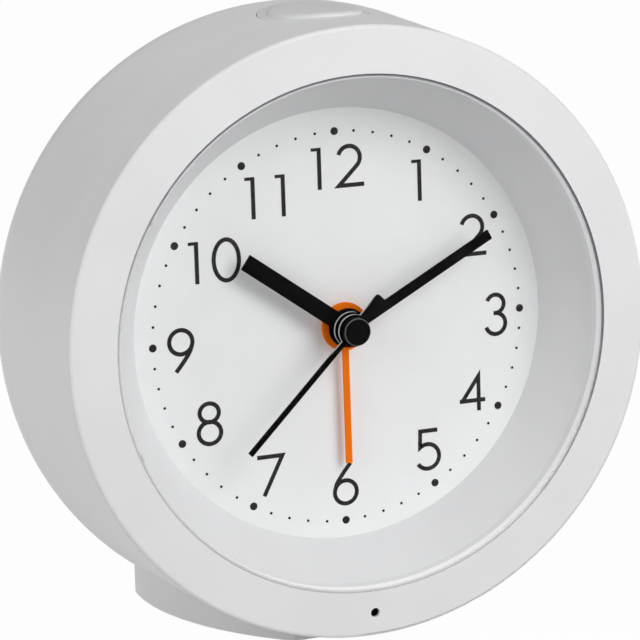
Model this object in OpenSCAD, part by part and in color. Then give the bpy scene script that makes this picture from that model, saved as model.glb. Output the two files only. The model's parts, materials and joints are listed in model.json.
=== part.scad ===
// Round bedside alarm clock with a quartz movement: drum housing, lens, dial, four hands, geared movement,
// battery bay, snooze button, setting knobs and foot. The dial looks to -Y and the clock stands on z = 0.

/* [Case] */
// radius of the front rim
rim_r = 45; // [40:0.5:60]
// width of the front ring, from the rim to the lens
ring_w = 6.9; // [5.5:0.1:9]
// how far the inner edge of the front ring stands forward of the rim
ring_crown = 0.65; // [0.2:0.05:1.5]
// thickness of the front ring
ring_t = 2.2; // [1.8:0.1:3]
// rounding of the front rim
rim_round = 0.6; // [0.3:0.1:1.5]
// draft of the drum, which widens to the back, in degrees
draft = 2.88; // [1:0.1:4]
// wall of the housing and of the rear cover
wall = 2; // [1.6:0.1:2.6]
// rounding of the shoulder at the back
shoulder_r = 13.5; // [10:0.5:16]
// length of the rear cover, from the seam to the flat back
cover_len = 5.4; // [4:0.1:8]
// width of the seam between housing and rear cover
seam_gap = 0.2; // [0.1:0.05:0.4]
// length of the spigot that centres the rear cover
spigot_len = 2.6; // [2:0.1:4]

/* [Lens and dial] */
// width of the gap round the lens
lens_gap = 0.12; // [0.05:0.01:0.3]
// thickness of the lens
lens_t = 2.1; // [1.5:0.1:2.6]
// thickness of the lens flange behind the front ring
lens_flange_t = 1.3; // [0.8:0.1:2]
// width of the lens flange
lens_step = 1.5; // [1:0.1:2.2]
// bevel on the front edge of the lens
lens_bevel = 0.35; // [0.1:0.05:0.6]
// depth of the dial behind the rim
dial_depth = 10; // [9:0.1:14]
// radial run of the sloping dial ring
slope_run = 5.1; // [3:0.1:7]
// thickness of the dial
dial_t = 0.8; // [0.5:0.1:1.2]
// height of the dial ring flange
dial_flange_t = 1; // [0.8:0.1:1.6]
// radius of the light sensor's hole
sensor_hole_r = 0.7; // [0.4:0.1:1.2]
// distance of the light sensor from the rim
sensor_inset = 3.6; // [3:0.1:4.5]

/* [Hands] */
// hour hand, length from the centre
hour_len = 19.2; // [12:0.1:24]
// hour hand, width
hour_w = 2.5; // [1:0.1:4]
// hour hand, angle clockwise from twelve
hour_angle = 305.8; // [0:0.1:360]
// minute hand, length from the centre
minute_len = 25.6; // [16:0.1:28]
// minute hand, width
minute_w = 1.5; // [0.8:0.1:3]
// minute hand, angle clockwise from twelve
minute_angle = 62; // [0:0.1:360]
// second hand, length from the centre
second_len = 23.7; // [14:0.1:28]
// second hand, width
second_w = 0.75; // [0.4:0.05:1.5]
// second hand, length of the tail
tail_len = 6.4; // [4:0.1:9]
// second hand, width of the tail
tail_w = 1.7; // [1:0.1:3]
// second hand, angle clockwise from twelve
second_angle = 225.2; // [0:0.1:360]
// alarm hand, length from the centre
alarm_len = 20.6; // [12:0.1:24]
// alarm hand, width
alarm_w = 0.95; // [0.5:0.05:2]
// alarm hand, angle clockwise from twelve
alarm_angle = 179.8; // [0:0.1:360]
// radius of the alarm hand's hub
alarm_hub_r = 3.6; // [3.2:0.1:5]
// radius of the hour hand's hub
hour_hub_r = 2.9; // [2.4:0.1:4]
// radius of the minute hand's hub
minute_hub_r = 2.6; // [1.8:0.1:3.5]
// radius of the second hand's hub
second_hub_r = 2.4; // [1.2:0.1:3]
// radius of the cap over the hands
cap_r = 2.25; // [1.2:0.05:3]
// height of the cap
cap_h = 1.3; // [0.8:0.1:2]
// thickness of the hands
hand_t = 0.4; // [0.2:0.05:0.6]
// step from one hand to the next
hand_step = 1.2; // [0.9:0.05:1.5]

/* [Movement] */
// half width of the movement plates
plate_half = 24; // [23:0.5:26]
// thickness of the movement plates
plate_t = 1.2; // [0.8:0.1:1.6]
// face width of the wheels
wheel_t = 0.9; // [0.6:0.05:1.2]
// running space between two layers of wheels
layer_gap = 0.3; // [0.2:0.05:0.5]
// distance of the pillars from the middle, each way
pillar_at = 21; // [20.5:0.1:22]
// radius of the pillars
pillar_r = 2; // [1.7:0.1:2.4]
// radius of the ears that carry the movement
ear_r = 2.8; // [2.4:0.1:3.4]
// distance from the centre to the third wheel's axis
third_dist = 9; // [8.6:0.1:9.6]
// distance from the centre to the motion wheel's axis
motion_dist = 8.4; // [8:0.1:9]
// distance from the centre to the reduction wheel's axis
reduction_dist = 6; // [5.6:0.1:6.4]
// distance from the reduction wheel to the rotor
rotor_dist = 6.16; // [5.9:0.02:6.6]
// distance from the centre to the alarm setting arbor
alarm_set_dist = 16.8; // [15.6:0.1:18]
// radius of the setting arbors
arbor_r = 1; // [0.7:0.05:1.3]
// radius of the rotor magnet
magnet_r = 2.4; // [1.8:0.1:2.8]
// radius of the coil winding
coil_r = 2.1; // [1.7:0.05:2.2]
// length of the coil winding
coil_len = 17; // [14:0.5:19]

/* [Battery] */
// radius of the battery
cell_r = 7.25; // [5:0.05:8]
// length of the battery, with its nub
cell_len = 50.5; // [44:0.5:51]
// height of the battery's axis against the hands' axis
cell_z = -6; // [-7:0.1:-5.5]
// room for a contact at each end of the battery
contact_room = 2.2; // [1.6:0.1:2.6]
// wall of the battery bay
bay_wall = 1.2; // [0.8:0.1:1.6]
// radius of the battery door's hinge pins
pin_r = 0.6; // [0.4:0.05:0.7]
// length of the hinge pins
pin_len = 1; // [0.7:0.1:1.1]

/* [Controls] */
// radius of the snooze button
snooze_r = 8; // [6:0.1:9]
// distance of the snooze button behind the rim
snooze_y = 17; // [16:0.5:20]
// height of the snooze button over the drum
snooze_raise = 0.8; // [0.7:0.05:1.4]
// travel of the snooze button
snooze_travel = 0.7; // [0.4:0.05:0.9]
// radius of the setting knobs
knob_r = 5.5; // [4:0.1:6.5]
// height of the setting knobs
knob_h = 3; // [2:0.1:4.5]
// travel of the alarm slider
slider_travel = 4; // [2:0.1:5]
// length of the alarm slider's grip
slider_len = 6; // [4:0.1:7]
// height of the alarm slider's middle over the hands' axis
slider_z = 26.5; // [26:0.1:28]
// radius of the buzzer
buzzer_r = 8.2; // [6:0.1:8.6]

/* [Foot] */
// half width of the foot
foot_half = 22.1; // [20:0.1:24]
// depth of the front of the foot behind the rim
foot_front = 9; // [7:0.1:11]
// radius of the sides of the foot
foot_side_r = 44; // [40:0.5:60]
// how far the foot reaches behind the flat back
foot_tail = 4; // [2:0.1:6]
// thickness of the foot under the drum
foot_floor = 0.5; // [0.4:0.1:2]
// height of the foot's back edge
foot_h = 6.4; // [5.5:0.1:9]
// radius of a foot pad
pad_r = 3.5; // [2:0.1:4]
// height of a foot pad below the foot
pad_proud = 0.5; // [0.3:0.05:1]
// depth of the recess for a foot pad
pad_sunk = 0.4; // [0.2:0.05:0.5]

/* [Screws and fits] */
// radius of the screws
screw_r = 1; // [0.8:0.05:1.2]
// radius of the screw heads
head_r = 1.9; // [1.5:0.05:2.2]
// height of the screw heads
head_t = 1.1; // [0.7:0.05:1.4]
// radial play of a running fit
run_fit = 0.05; // [0.03:0.01:0.08]
// radial play of a seat
seat_fit = 0.02; // [0.01:0.01:0.05]
// room round a part that moves in an opening
move_gap = 0.3; // [0.2:0.05:0.5]

/* [Hidden] */
$fn = 96;
pressure = 20;
tooth_slack = 0.2;
wheel_tip = 0.8;
pinion_tip = 1;
tooth_root = 1.25;
// angle at which a rounding runs into the faces next to it
arc_lap = 2;

white = [0.93, 0.93, 0.93];
shade = [0.86, 0.86, 0.87];
clear = [0.85, 0.92, 0.95, 0.35];
black = [0.08, 0.08, 0.08];
orange = [0.9, 0.45, 0.08];
steel = [0.7, 0.71, 0.73];
brass = [0.78, 0.62, 0.3];
copper = [0.72, 0.4, 0.24];
green = [0.12, 0.4, 0.22];
grey = [0.45, 0.46, 0.48];

// blind pins that keep the dial in line with the movement
dial_pin_x = plate_half - 4;
dial_pin_r = 0.75;
dial_pin_len = dial_t / 2;

// layers of the movement, from the dial to the back
front_y0 = dial_depth + dial_t;
front_y1 = front_y0 + plate_t;
alarm_y = front_y1 + layer_gap;
hour_y = alarm_y + wheel_t + layer_gap;
motion_y = hour_y + wheel_t + layer_gap;
middle_y0 = motion_y + wheel_t + layer_gap;
middle_y1 = middle_y0 + plate_t;
centre_y = middle_y1 + layer_gap;
third_y = centre_y + wheel_t + layer_gap;
second_y = third_y + wheel_t + layer_gap;
reduction_y = second_y + wheel_t + layer_gap;
back_y0 = reduction_y + wheel_t + layer_gap;
back_y1 = back_y0 + plate_t;

// battery bay and rear of the case
bay_floor_y = back_y1 + move_gap;
cell_y = bay_floor_y + bay_wall + cell_r + 0.1;
cover_in_y = cell_y + cell_r + 0.2;
cover_y = cover_in_y + wall;
seam_y = cover_y - cover_len;
bay_half = cell_len / 2 + contact_room;
bay_high = cell_r + 0.4;
nub_len = 1.5;
nub_r = 2.75;
latch_r = move_gap - run_fit;
latch_x = 10;
latch_len = 6;

// outer skin of the drum
function skin_r(y) = rim_r + y * tan(draft);
function bore_r(y) = skin_r(y) - wall;
arc_y = cover_y - shoulder_r;
arc_x = skin_r(arc_y) - shoulder_r / cos(draft);
function shoulder_at(y) = arc_x + sqrt(pow(shoulder_r, 2) - pow(y - arc_y, 2));
seam_r = shoulder_at(seam_y);
spigot_r = seam_r - wall * 0.8;
spigot_y = seam_y - spigot_len;
taper_y = spigot_y - 5.6;
drum_low = skin_r(arc_y);

// front ring, lens and dial ring
lens_bore_r = rim_r - ring_w;
lens_r = lens_bore_r - lens_gap;
lens_seat_y = ring_t - lens_flange_t;
lens_front_y = 0.1 - ring_crown;
lens_out_r = lens_r + lens_step;
slope_top_r = lens_r - 0.7;
slope_low_r = slope_top_r - slope_run;
flange_y = dial_depth - dial_flange_t;
flange_r = spigot_r - move_gap;
ring_boss_r = 2.4;
ring_boss_at = flange_r - ring_boss_r + 0.8;
ring_boss_y = ring_t + 3;
ring_boss_angles = [60, 180, 300];
rib_step = 0.3;
ear_at = flange_r - ear_r - 0.1;
ear_angles = [45, 135, 225, 315];
dial_r = ear_at - ear_r - 0.3;
sensor_z = sensor_inset - rim_r;
sensor_r = 1.4;
sensor_len = 4;
sensor_board_t = 1.2;
sensor_back_y = ring_t + sensor_len + sensor_board_t;

// rear cover screws
cover_boss_r = 3;
cover_boss_at = spigot_r - cover_boss_r - 0.2;
cover_boss_len = 6;
cover_boss_angles = [90, 210, 330];
cover_seat_y = spigot_y;

// hand stack, from the dial forward
alarm_hand_y = dial_depth - hand_step - hand_t;
hour_hand_y = alarm_hand_y - hand_step;
minute_hand_y = hour_hand_y - hand_step;
second_hand_y = minute_hand_y - hand_step;
cap_y = second_hand_y - cap_h;
second_arbor_r = 0.5;
minute_bore_r = second_arbor_r + run_fit;
minute_tube_r = 1.3;
hour_bore_r = minute_tube_r + run_fit;
hour_tube_r = 2;
alarm_bore_r = hour_tube_r + run_fit;
alarm_tube_r = 2.8;
alarm_tip_r = 2.45;

// wheel axes, as angles and places seen from the dial
third_turn = 250;
motion_turn = 60;
reduction_turn = -20;
alarm_set_turn = 120;
function polar(r, a) = [r * cos(a), r * sin(a)];
third_p = polar(third_dist, third_turn);
motion_p = polar(motion_dist, motion_turn);
reduction_p = polar(reduction_dist, reduction_turn);
rotor_p = polar(reduction_dist + rotor_dist, reduction_turn);
time_set_p = polar(2 * motion_dist, motion_turn);
alarm_set_p = polar(alarm_set_dist, alarm_set_turn);
pivot_r = 0.45;
stud_r = 0.75;
fine_stud_r = 0.4;

// tooth counts and modules
second_pinion_n = 8;
third_wheel_n = 60;
third_pinion_n = 8;
centre_wheel_n = 64;
cannon_n = 12;
motion_wheel_n = 36;
motion_pinion_n = 10;
hour_wheel_n = 40;
rotor_pinion_n = 8;
reduction_wheel_n = 48;
reduction_pinion_n = 8;
second_wheel_n = 40;
time_pinion_n = 12;
alarm_pinion_n = 12;
alarm_wheel_n = 48;
function pair_module(dist, n, m) = 2 * dist / (n + m);
third_m = pair_module(third_dist, second_pinion_n, third_wheel_n);
centre_m = pair_module(third_dist, third_pinion_n, centre_wheel_n);
motion_m = pair_module(motion_dist, cannon_n, motion_wheel_n);
hour_m = pair_module(motion_dist, motion_pinion_n, hour_wheel_n);
rotor_m = pair_module(rotor_dist, rotor_pinion_n, reduction_wheel_n);
reduction_m = pair_module(reduction_dist, reduction_pinion_n, second_wheel_n);
alarm_m = pair_module(alarm_set_dist, alarm_pinion_n, alarm_wheel_n);

// tooth phases, so that each pair meshes at rest
function mesh_phase(dir, n, phase, m) = dir + 180 - 180 / m + (dir - phase) * n / m;
third_phase = mesh_phase(third_turn, second_pinion_n, 0, third_wheel_n);
centre_phase = mesh_phase(third_turn + 180, third_pinion_n, 0, centre_wheel_n);
motion_phase = mesh_phase(motion_turn, cannon_n, 0, motion_wheel_n);
hour_phase = mesh_phase(motion_turn + 180, motion_pinion_n, 0, hour_wheel_n);
time_phase = mesh_phase(motion_turn, motion_wheel_n, motion_phase, time_pinion_n);
reduction_phase = mesh_phase(reduction_turn, second_wheel_n, 0, reduction_pinion_n);
rotor_phase = mesh_phase(reduction_turn, reduction_wheel_n, 0, rotor_pinion_n);
alarm_phase = mesh_phase(alarm_set_turn, alarm_wheel_n, 0, alarm_pinion_n);

// motor
stator_t = 0.9;
stator_y = (middle_y1 + back_y0 - stator_t) / 2;
stator_bar = 1.6;
stator_pole = 3.6;
stator_post_r = 0.8;
flange_t = 0.8;
stator_reach = coil_len / 2 + flange_t + stator_bar + 0.1;
coil_gap = 6;
coil_x = rotor_p.x + magnet_r + coil_gap;
stator_post_x = (rotor_p.x + stator_pole / 2 + coil_x) / 2;
core_r = 1.25;
coil_y = stator_y + stator_t / 2;
bobbin_r = coil_r + 0.2;

// circuit board, behind the back plate and below the battery bay
board_z = cell_z - bay_high - bay_wall - 0.6;
board_w = 8;
board_half = pillar_at - head_r - 1.5;
function board_peg(s) = [s * (board_half - 2), board_z - board_w / 2];

// snooze button and its switch
snooze_boss_r = snooze_r + 2.4;
snooze_seat = sqrt(pow(bore_r(snooze_y - snooze_boss_r), 2) - pow(snooze_boss_r, 2)) - 0.2;
snooze_lip = 0.9;
snooze_flange_t = 1;
switch_half = 3;
switch_h = 3.4;
plunger_r = 1.5;
plunger_h = 1;
stem_len = 2;
board_t = 1.2;
plunger_top = snooze_seat - snooze_flange_t - stem_len;
switch_z = plunger_top - plunger_h - switch_h;
snooze_post_r = 2;
snooze_post_x = snooze_r + snooze_lip + move_gap + 0.1 + snooze_post_r;

// alarm slider
slider_w = 3;
slider_x = -slider_travel / 2;
slider_rise = 1.6;
slider_plate_t = 1;
slider_plate_half = slider_len / 2 + 4;
slider_plate_w = slider_w + 4;
case_t = 1;
case_half = slider_plate_half + slider_travel / 2 + move_gap + case_t;
case_w = slider_plate_w + 2 * move_gap + 2 * case_t;
case_deep = 4.5;

// buzzer, in a collar below the battery bay
collar_t = 0.9;
buzzer_z = cell_z - bay_high - bay_wall - collar_t - run_fit - buzzer_r;

// knobs
knob_y = cover_y + 0.5;
hub_r = 2.6;
hub_hole_r = hub_r + move_gap;

// foot
foot_low = -drum_low - foot_floor;
foot_back = cover_y + foot_tail;
foot_wide_y = foot_back - 5.7;
foot_side_x = foot_side_r - foot_half;
pad_places = [[7, foot_front + 5], [14, foot_back - 6.5]];
foot_screw_x = 16;
foot_screw_y = 24;
foot_boss_z = 4 - sqrt(pow(bore_r(foot_screw_y), 2) - pow(foot_screw_x, 2));
foot_boss_half = head_r + 0.8;
foot_screw_end = foot_low + 0.6;

// place of the clock: the pads stand on z = 0 and the depth is centred
axis_h = pad_proud - foot_low;
clock_back = max(foot_back, knob_y + knob_h);
front_y = (ring_crown - clock_back) / 2;

// piece to draw, or all

// shared forms

module stand() translate([0, front_y, axis_h]) children();

// a flat outline, x to the right and y up, made solid from depth y on
module plate(y, t) translate([0, y + t, 0]) rotate([90, 0, 0]) linear_extrude(t) children();

// a half outline, radius and depth, turned about the hands' axis
module turned() rotate([-90, 0, 0]) rotate_extrude() children();

// a round rod along the depth
module rod(p, y, t, r) translate([p.x, y, p.y]) rotate([-90, 0, 0]) cylinder(h = t, r = r);

// a ring along the depth
module bush(p, y, t, r, bore) difference() {
    rod(p, y, t, r);
    rod(p, y - 1, t + 2, bore);
}

// a screw along the depth, its head towards the back
module screw(p, seat, len) {
    difference() {
        rod(p, seat, head_t, head_r);
        translate([p.x, seat + head_t, p.y]) cube([2 * head_r - 1, 0.9, 0.5], center = true);
        translate([p.x, seat + head_t, p.y]) cube([0.5, 0.9, 2 * head_r - 1], center = true);
    }
    rod(p, seat - len, len, screw_r);
}

// half outline of the whole drum: crowned front, rounded rim, drafted wall, round shoulder, flat back
module skin() {
    face = [-ring_w, -ring_crown] / norm([ring_w, ring_crown]);
    side = [sin(draft), cos(draft)];
    half = acos(face * side) / 2;
    rim = [rim_r, 0];
    rim_cut = rim_round / tan(half);
    rim_centre = rim + (face + side) / norm(face + side) * rim_round / sin(half);
    shoulder_side = [arc_x, arc_y] + shoulder_r * [cos(draft), -sin(draft)];
    polygon([
        [0, -ring_crown], [lens_bore_r, -ring_crown], rim + face * rim_cut, rim + side * rim_cut,
        shoulder_side, [arc_x, cover_y], [0, cover_y]
    ]);
    translate(rim_centre) circle(rim_round / cos(arc_lap));
    translate([arc_x, arc_y]) circle(shoulder_r / cos(arc_lap));
}

// the drum up to the middle of its wall, which ends what is moulded onto the inside
module mid_wall() rotate([-90, 0, 0]) cylinder(h = arc_y, r1 = rim_r - wall / 2, r2 = skin_r(arc_y) - wall / 2);

// tooth form
function involute(a) = tan(a) * 180 / PI - a;
function half_tooth(n, m, r) =
    let (base = m * n / 2 * cos(pressure))
    (90 - 2 * tooth_slack * 180 / PI) / n + involute(pressure) - (r > base ? involute(acos(base / r)) : 0);
function tooth_radii(n, m, tip) =
    let (root = m * (n / 2 - tooth_root), base = m * n / 2 * cos(pressure))
    [root, max(base, root + 0.3 * m), m * (n / 2 + tip)];
function gear_points(n, m, tip, phase) =
    let (radii = tooth_radii(n, m, tip))
    [
        for (i = [0 : n - 1], k = [0 : 5])
            let (r = radii[k < 3 ? k : 5 - k], side = k < 3 ? -1 : 1)
            polar(r, phase + 360 * i / n + side * half_tooth(n, m, r))
    ];

// a toothed rim from depth y on; spokes is the number of round openings between hub and rim
module gear(p, n, m, tip, phase, y, t, hub = 0, spokes = 0) {
    root = m * (n / 2 - tooth_root);
    mid = (root - 0.8 + hub) / 2;
    hole = min((root - 0.8 - hub) / 2, mid * sin(180 / max(spokes, 2)) - 0.4);
    plate(y, t) translate(p) difference() {
        polygon(gear_points(n, m, tip, phase));
        if (spokes > 0)
            for (i = [0 : spokes - 1])
                translate(polar(mid, phase + 360 * (i + 0.5) / spokes)) circle(hole);
    }
}

// a hand outline pointing at an angle clockwise from twelve
module hand(y, angle, len, w, hub, bore) plate(y, hand_t) rotate(-angle) difference() {
    union() {
        circle(hub);
        translate([-w / 2, 0]) square([w, len]);
    }
    circle(bore);
}

// plan of the foot, x across and y to the back: two arched sides between a straight front and back
module foot_plan() intersection() {
    translate([foot_side_x, foot_wide_y]) circle(foot_side_r);
    translate([-foot_side_x, foot_wide_y]) circle(foot_side_r);
    translate([-2 * foot_half, foot_front]) square([4 * foot_half, foot_back - foot_front]);
}

module at_pads() for (p = pad_places, s = [-1, 1]) translate([s * p.x, p.y, foot_low]) children();

module at_foot_screws() for (s = [-1, 1]) translate([s * foot_screw_x, foot_screw_y, 0]) children();

module at_pillars() for (x = [-pillar_at, pillar_at], z = [-pillar_at, pillar_at]) translate([x, 0, z]) children();

// case

module housing() stand() color(white) difference() {
    union() {
        turned() difference() {
            intersection() {
                skin();
                translate([0, -ring_crown]) square([rim_r + 10, seam_y + ring_crown]);
            }
            polygon([
                [-1, -ring_crown - 1], [lens_bore_r, -ring_crown - 1], [lens_bore_r, lens_seat_y],
                [lens_out_r + lens_gap, lens_seat_y], [lens_out_r + lens_gap, ring_t], [bore_r(ring_t), ring_t],
                [bore_r(taper_y), taper_y], [spigot_r, spigot_y], [spigot_r, seam_y + 1],
                [-1, seam_y + 1]
            ]);
        }
        for (a = ring_boss_angles) {
            rod(polar(ring_boss_at, a), ring_boss_y, flange_y - ring_boss_y, ring_boss_r);
            rotate([0, -a, 0]) translate([ring_boss_at, ring_boss_y + rib_step, -1])
                cube([rim_r - wall / 2 - ring_boss_at, flange_y - ring_boss_y - 2 * rib_step, 2]);
        }
        for (a = cover_boss_angles) {
            rod(polar(cover_boss_at, a), cover_seat_y - cover_boss_len, cover_boss_len, cover_boss_r);
            rotate([0, -a, 0]) translate([cover_boss_at, cover_seat_y - 3, -1.5])
                cube([spigot_r + 1 - cover_boss_at, 3 - rib_step, 3]);
        }
        intersection() {
            mid_wall();
            union() {
                translate([0, snooze_y, snooze_seat]) cylinder(h = rim_r, r = snooze_boss_r);
                for (s = [-1, 1])
                    translate([s * snooze_post_x, snooze_y, switch_z]) cylinder(h = rim_r - switch_z, r = snooze_post_r);
                at_foot_screws() translate([-foot_boss_half, -foot_boss_half, -rim_r])
                    cube([2 * foot_boss_half, 2 * foot_boss_half, rim_r + foot_boss_z]);
            }
        }
    }
    translate([0, snooze_y, 0]) cylinder(h = 2 * rim_r, r = snooze_r + move_gap);
    for (s = [-1, 1])
        translate([s * snooze_post_x, snooze_y, switch_z - 1]) cylinder(h = 6, r = screw_r + run_fit);
    at_foot_screws() translate([0, 0, -2 * rim_r]) cylinder(h = 2 * rim_r, r = screw_r + run_fit);
    for (a = ring_boss_angles)
        rod(polar(ring_boss_at, a), ring_boss_y - 1, flange_y, screw_r + run_fit);
    for (a = cover_boss_angles)
        rod(polar(cover_boss_at, a), cover_seat_y - 6, 8, screw_r + run_fit);
    rod([0, sensor_z], -5, 10, sensor_hole_r);
}

module lens() stand() color(clear) turned() polygon([
    [0, lens_front_y], [lens_r - lens_bevel, lens_front_y], [lens_r, lens_front_y + lens_bevel],
    [lens_r, lens_seat_y], [lens_out_r, lens_seat_y], [lens_out_r, ring_t], [slope_top_r, ring_t],
    [slope_top_r - 0.6, lens_front_y + lens_t], [0, lens_front_y + lens_t]
]);

module dial_ring() stand() color(white) difference() {
    union() {
        turned() polygon([
            [slope_top_r, ring_t], [lens_out_r - 0.1, ring_t], [lens_out_r - 0.1, ring_t + 1],
            [slope_low_r + 2.6, flange_y], [flange_r, flange_y], [flange_r, dial_depth], [slope_low_r, dial_depth]
        ]);
        for (a = ear_angles)
            rod(polar(ear_at, a), dial_depth, dial_t, ear_r - 0.2);
        rod([0, sensor_z + 1], sensor_back_y, flange_y + dial_flange_t / 2 - sensor_back_y, 1);
    }
    for (a = ring_boss_angles)
        rod(polar(ring_boss_at, a), flange_y - 1, dial_flange_t + 2, screw_r + run_fit);
    for (a = ear_angles)
        rod(polar(ear_at, a), flange_y - 1, dial_flange_t + dial_t + 2, screw_r + run_fit);
    for (a = cover_boss_angles)
        rod(polar(cover_boss_at, a), flange_y - 1, dial_flange_t + 2, cover_boss_r + move_gap);
    translate([0, snooze_y, snooze_seat - snooze_flange_t - snooze_travel - move_gap])
        cylinder(h = rim_r, r = snooze_r + snooze_lip + move_gap);
}

module dial_ring_screws() stand() color(steel)
    for (a = ring_boss_angles)
        screw(polar(ring_boss_at, a), dial_depth, dial_flange_t + flange_y - ring_boss_y - 0.5);

module dial() stand() color(white) difference() {
    plate(dial_depth, dial_t) difference() {
        circle(dial_r);
        circle(alarm_tube_r + move_gap);
    }
    for (s = [-1, 1])
        rod([s * dial_pin_x, 0], front_y0 - dial_pin_len - 0.05, dial_t, dial_pin_r + seat_fit);
}

module light_sensor() stand() color(black) {
    rod([0, sensor_z], ring_t, sensor_len - 0.8, sensor_r);
    rod([0, sensor_z], ring_t + sensor_len - 0.8, 0.8, sensor_r - 0.2);
}

module sensor_board() stand() color(green)
    plate(ring_t + sensor_len, sensor_board_t)
        translate([-4, sensor_z - sensor_r + 0.2]) square([8, 3.4]);

module rear_cover() stand() color(white) difference() {
    union() {
        turned() difference() {
            intersection() {
                skin();
                translate([0, seam_y + seam_gap]) square([rim_r + 10, cover_len]);
            }
            translate([arc_x, arc_y]) circle(shoulder_r - wall);
            square([arc_x, cover_in_y]);
        }
        turned() translate([spigot_r - run_fit - wall * 0.7, spigot_y + 0.2])
            square([wall * 0.7, seam_y - spigot_y + 1]);
        intersection() {
            turned() skin();
            for (a = cover_boss_angles)
                rod(polar(cover_boss_at, a), cover_seat_y, cover_y - cover_seat_y, cover_boss_r + 0.1);
        }
        plate(bay_floor_y, cover_in_y - bay_floor_y) translate([0, cell_z])
            square([2 * (bay_half + bay_wall), 2 * (bay_high + bay_wall)], center = true);
        bush([0, buzzer_z], cover_in_y - 3, 3.5, buzzer_r + run_fit + collar_t, buzzer_r + run_fit);
    }
    plate(bay_floor_y + bay_wall, cover_y) translate([0, cell_z])
        square([2 * bay_half, 2 * bay_high], center = true);
    door_pins(pin_r + run_fit, pin_len + move_gap + 0.1);
    for (p = [time_set_p, alarm_set_p])
        rod(p, cover_in_y - 1, wall + 2, hub_hole_r);
    plate(cover_in_y - 1, wall + 2) translate([0, slider_z])
        square([slider_len + slider_travel + 2 * move_gap, slider_w + 2 * move_gap], center = true);
    for (a = cover_boss_angles) {
        rod(polar(cover_boss_at, a), cover_seat_y - 1, cover_len, screw_r + run_fit);
        rod(polar(cover_boss_at, a), cover_seat_y + 1, cover_y - cover_seat_y, head_r + 0.2);
    }
    rod([0, buzzer_z], cover_in_y - 1, wall + 2, 0.7);
    for (k = [1, 2], i = [0 : 6 * k - 1])
        rod([0, buzzer_z] + polar(2.6 * k, 60 * i / k), cover_in_y - 1, wall + 2, 0.7);
    translate([0, cover_y + 3.5, cell_z + bay_high + 1]) sphere(5);
}

module rear_cover_screws() stand() color(steel)
    for (a = cover_boss_angles)
        screw(polar(cover_boss_at, a), cover_seat_y + 1, 6.5);

// hinge pins of the battery door, on its lower edge
module door_pins(r, len)
    for (s = [-1, 1])
        translate([s * (bay_half - move_gap - 0.5), cover_y - wall / 2, cell_z - bay_high + move_gap + wall / 2])
            rotate([0, s * 90, 0]) cylinder(h = len + 0.5, r = r);

module battery_door() stand() color(white) {
    half = bay_half - move_gap;
    low = cell_z - bay_high + move_gap + wall / 2;
    high = cell_z + bay_high - move_gap;
    difference() {
        union() {
            translate([-half, cover_y - wall, low]) cube([2 * half, wall, high - low]);
            translate([-half, cover_y - wall / 2, low]) rotate([0, 90, 0]) cylinder(h = 2 * half, r = wall / 2);
            for (s = [-1, 1])
                translate([s * latch_x, cover_y - wall / 2, high])
                    rotate([0, 90, 0]) cylinder(h = latch_len, r = latch_r, center = true);
        }
        for (i = [-2 : 2])
            translate([-5, cover_y - 0.4, high - 4 + 0.9 * i]) cube([10, 1, 0.4]);
    }
    door_pins(pin_r, pin_len + move_gap);
}

module battery() stand() color(grey) {
    translate([-cell_len / 2, cell_y, cell_z]) rotate([0, 90, 0]) cylinder(h = cell_len - nub_len, r = cell_r);
    translate([cell_len / 2 - nub_len, cell_y, cell_z]) rotate([0, 90, 0]) cylinder(h = nub_len, r = nub_r);
}

// a folded contact strip at the end s of the bay, with a tongue that reaches the cell
module contact(s, w, bow) stand() color(steel) {
    translate([s * (bay_half - 0.2), cell_y, cell_z]) cube([0.4, w, w], center = true);
    translate([s * (bay_half - 0.4 - bow / 2), cell_y, cell_z])
        rotate([0, 90, 0]) cylinder(h = bow, r1 = s > 0 ? 1.6 : 2.6, r2 = s > 0 ? 2.6 : 1.6, center = true);
}

module battery_contact_plus() contact(1, 9, contact_room - 0.4);

module battery_contact_minus() contact(-1, 11, contact_room - 0.4);

module foot() stand() color(shade) difference() {
    translate([0, 0, foot_low]) linear_extrude(foot_h) foot_plan();
    rotate([-90, 0, 0]) cylinder(h = arc_y, r1 = rim_r, r2 = skin_r(arc_y));
    translate([0, arc_y - 0.01, 0]) rotate([-90, 0, 0]) cylinder(h = foot_back, r = skin_r(arc_y));
    at_pads() translate([0, 0, -1]) cylinder(h = 1 + pad_sunk, r = pad_r + seat_fit);
    at_foot_screws() translate([0, 0, foot_screw_end]) cylinder(h = rim_r, r = screw_r + run_fit);
}

module foot_pads() stand() color(grey)
    at_pads() translate([0, 0, -pad_proud]) cylinder(h = pad_proud + pad_sunk, r = pad_r);

module foot_screws() stand() color(steel)
    at_foot_screws() {
        translate([0, 0, foot_boss_z]) cylinder(h = head_t, r = head_r);
        translate([0, 0, foot_screw_end + 0.2]) cylinder(h = foot_boss_z - foot_screw_end - 0.2, r = screw_r);
    }

// movement plates

module plate_outline() square([2 * plate_half, 2 * plate_half], center = true);

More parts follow.
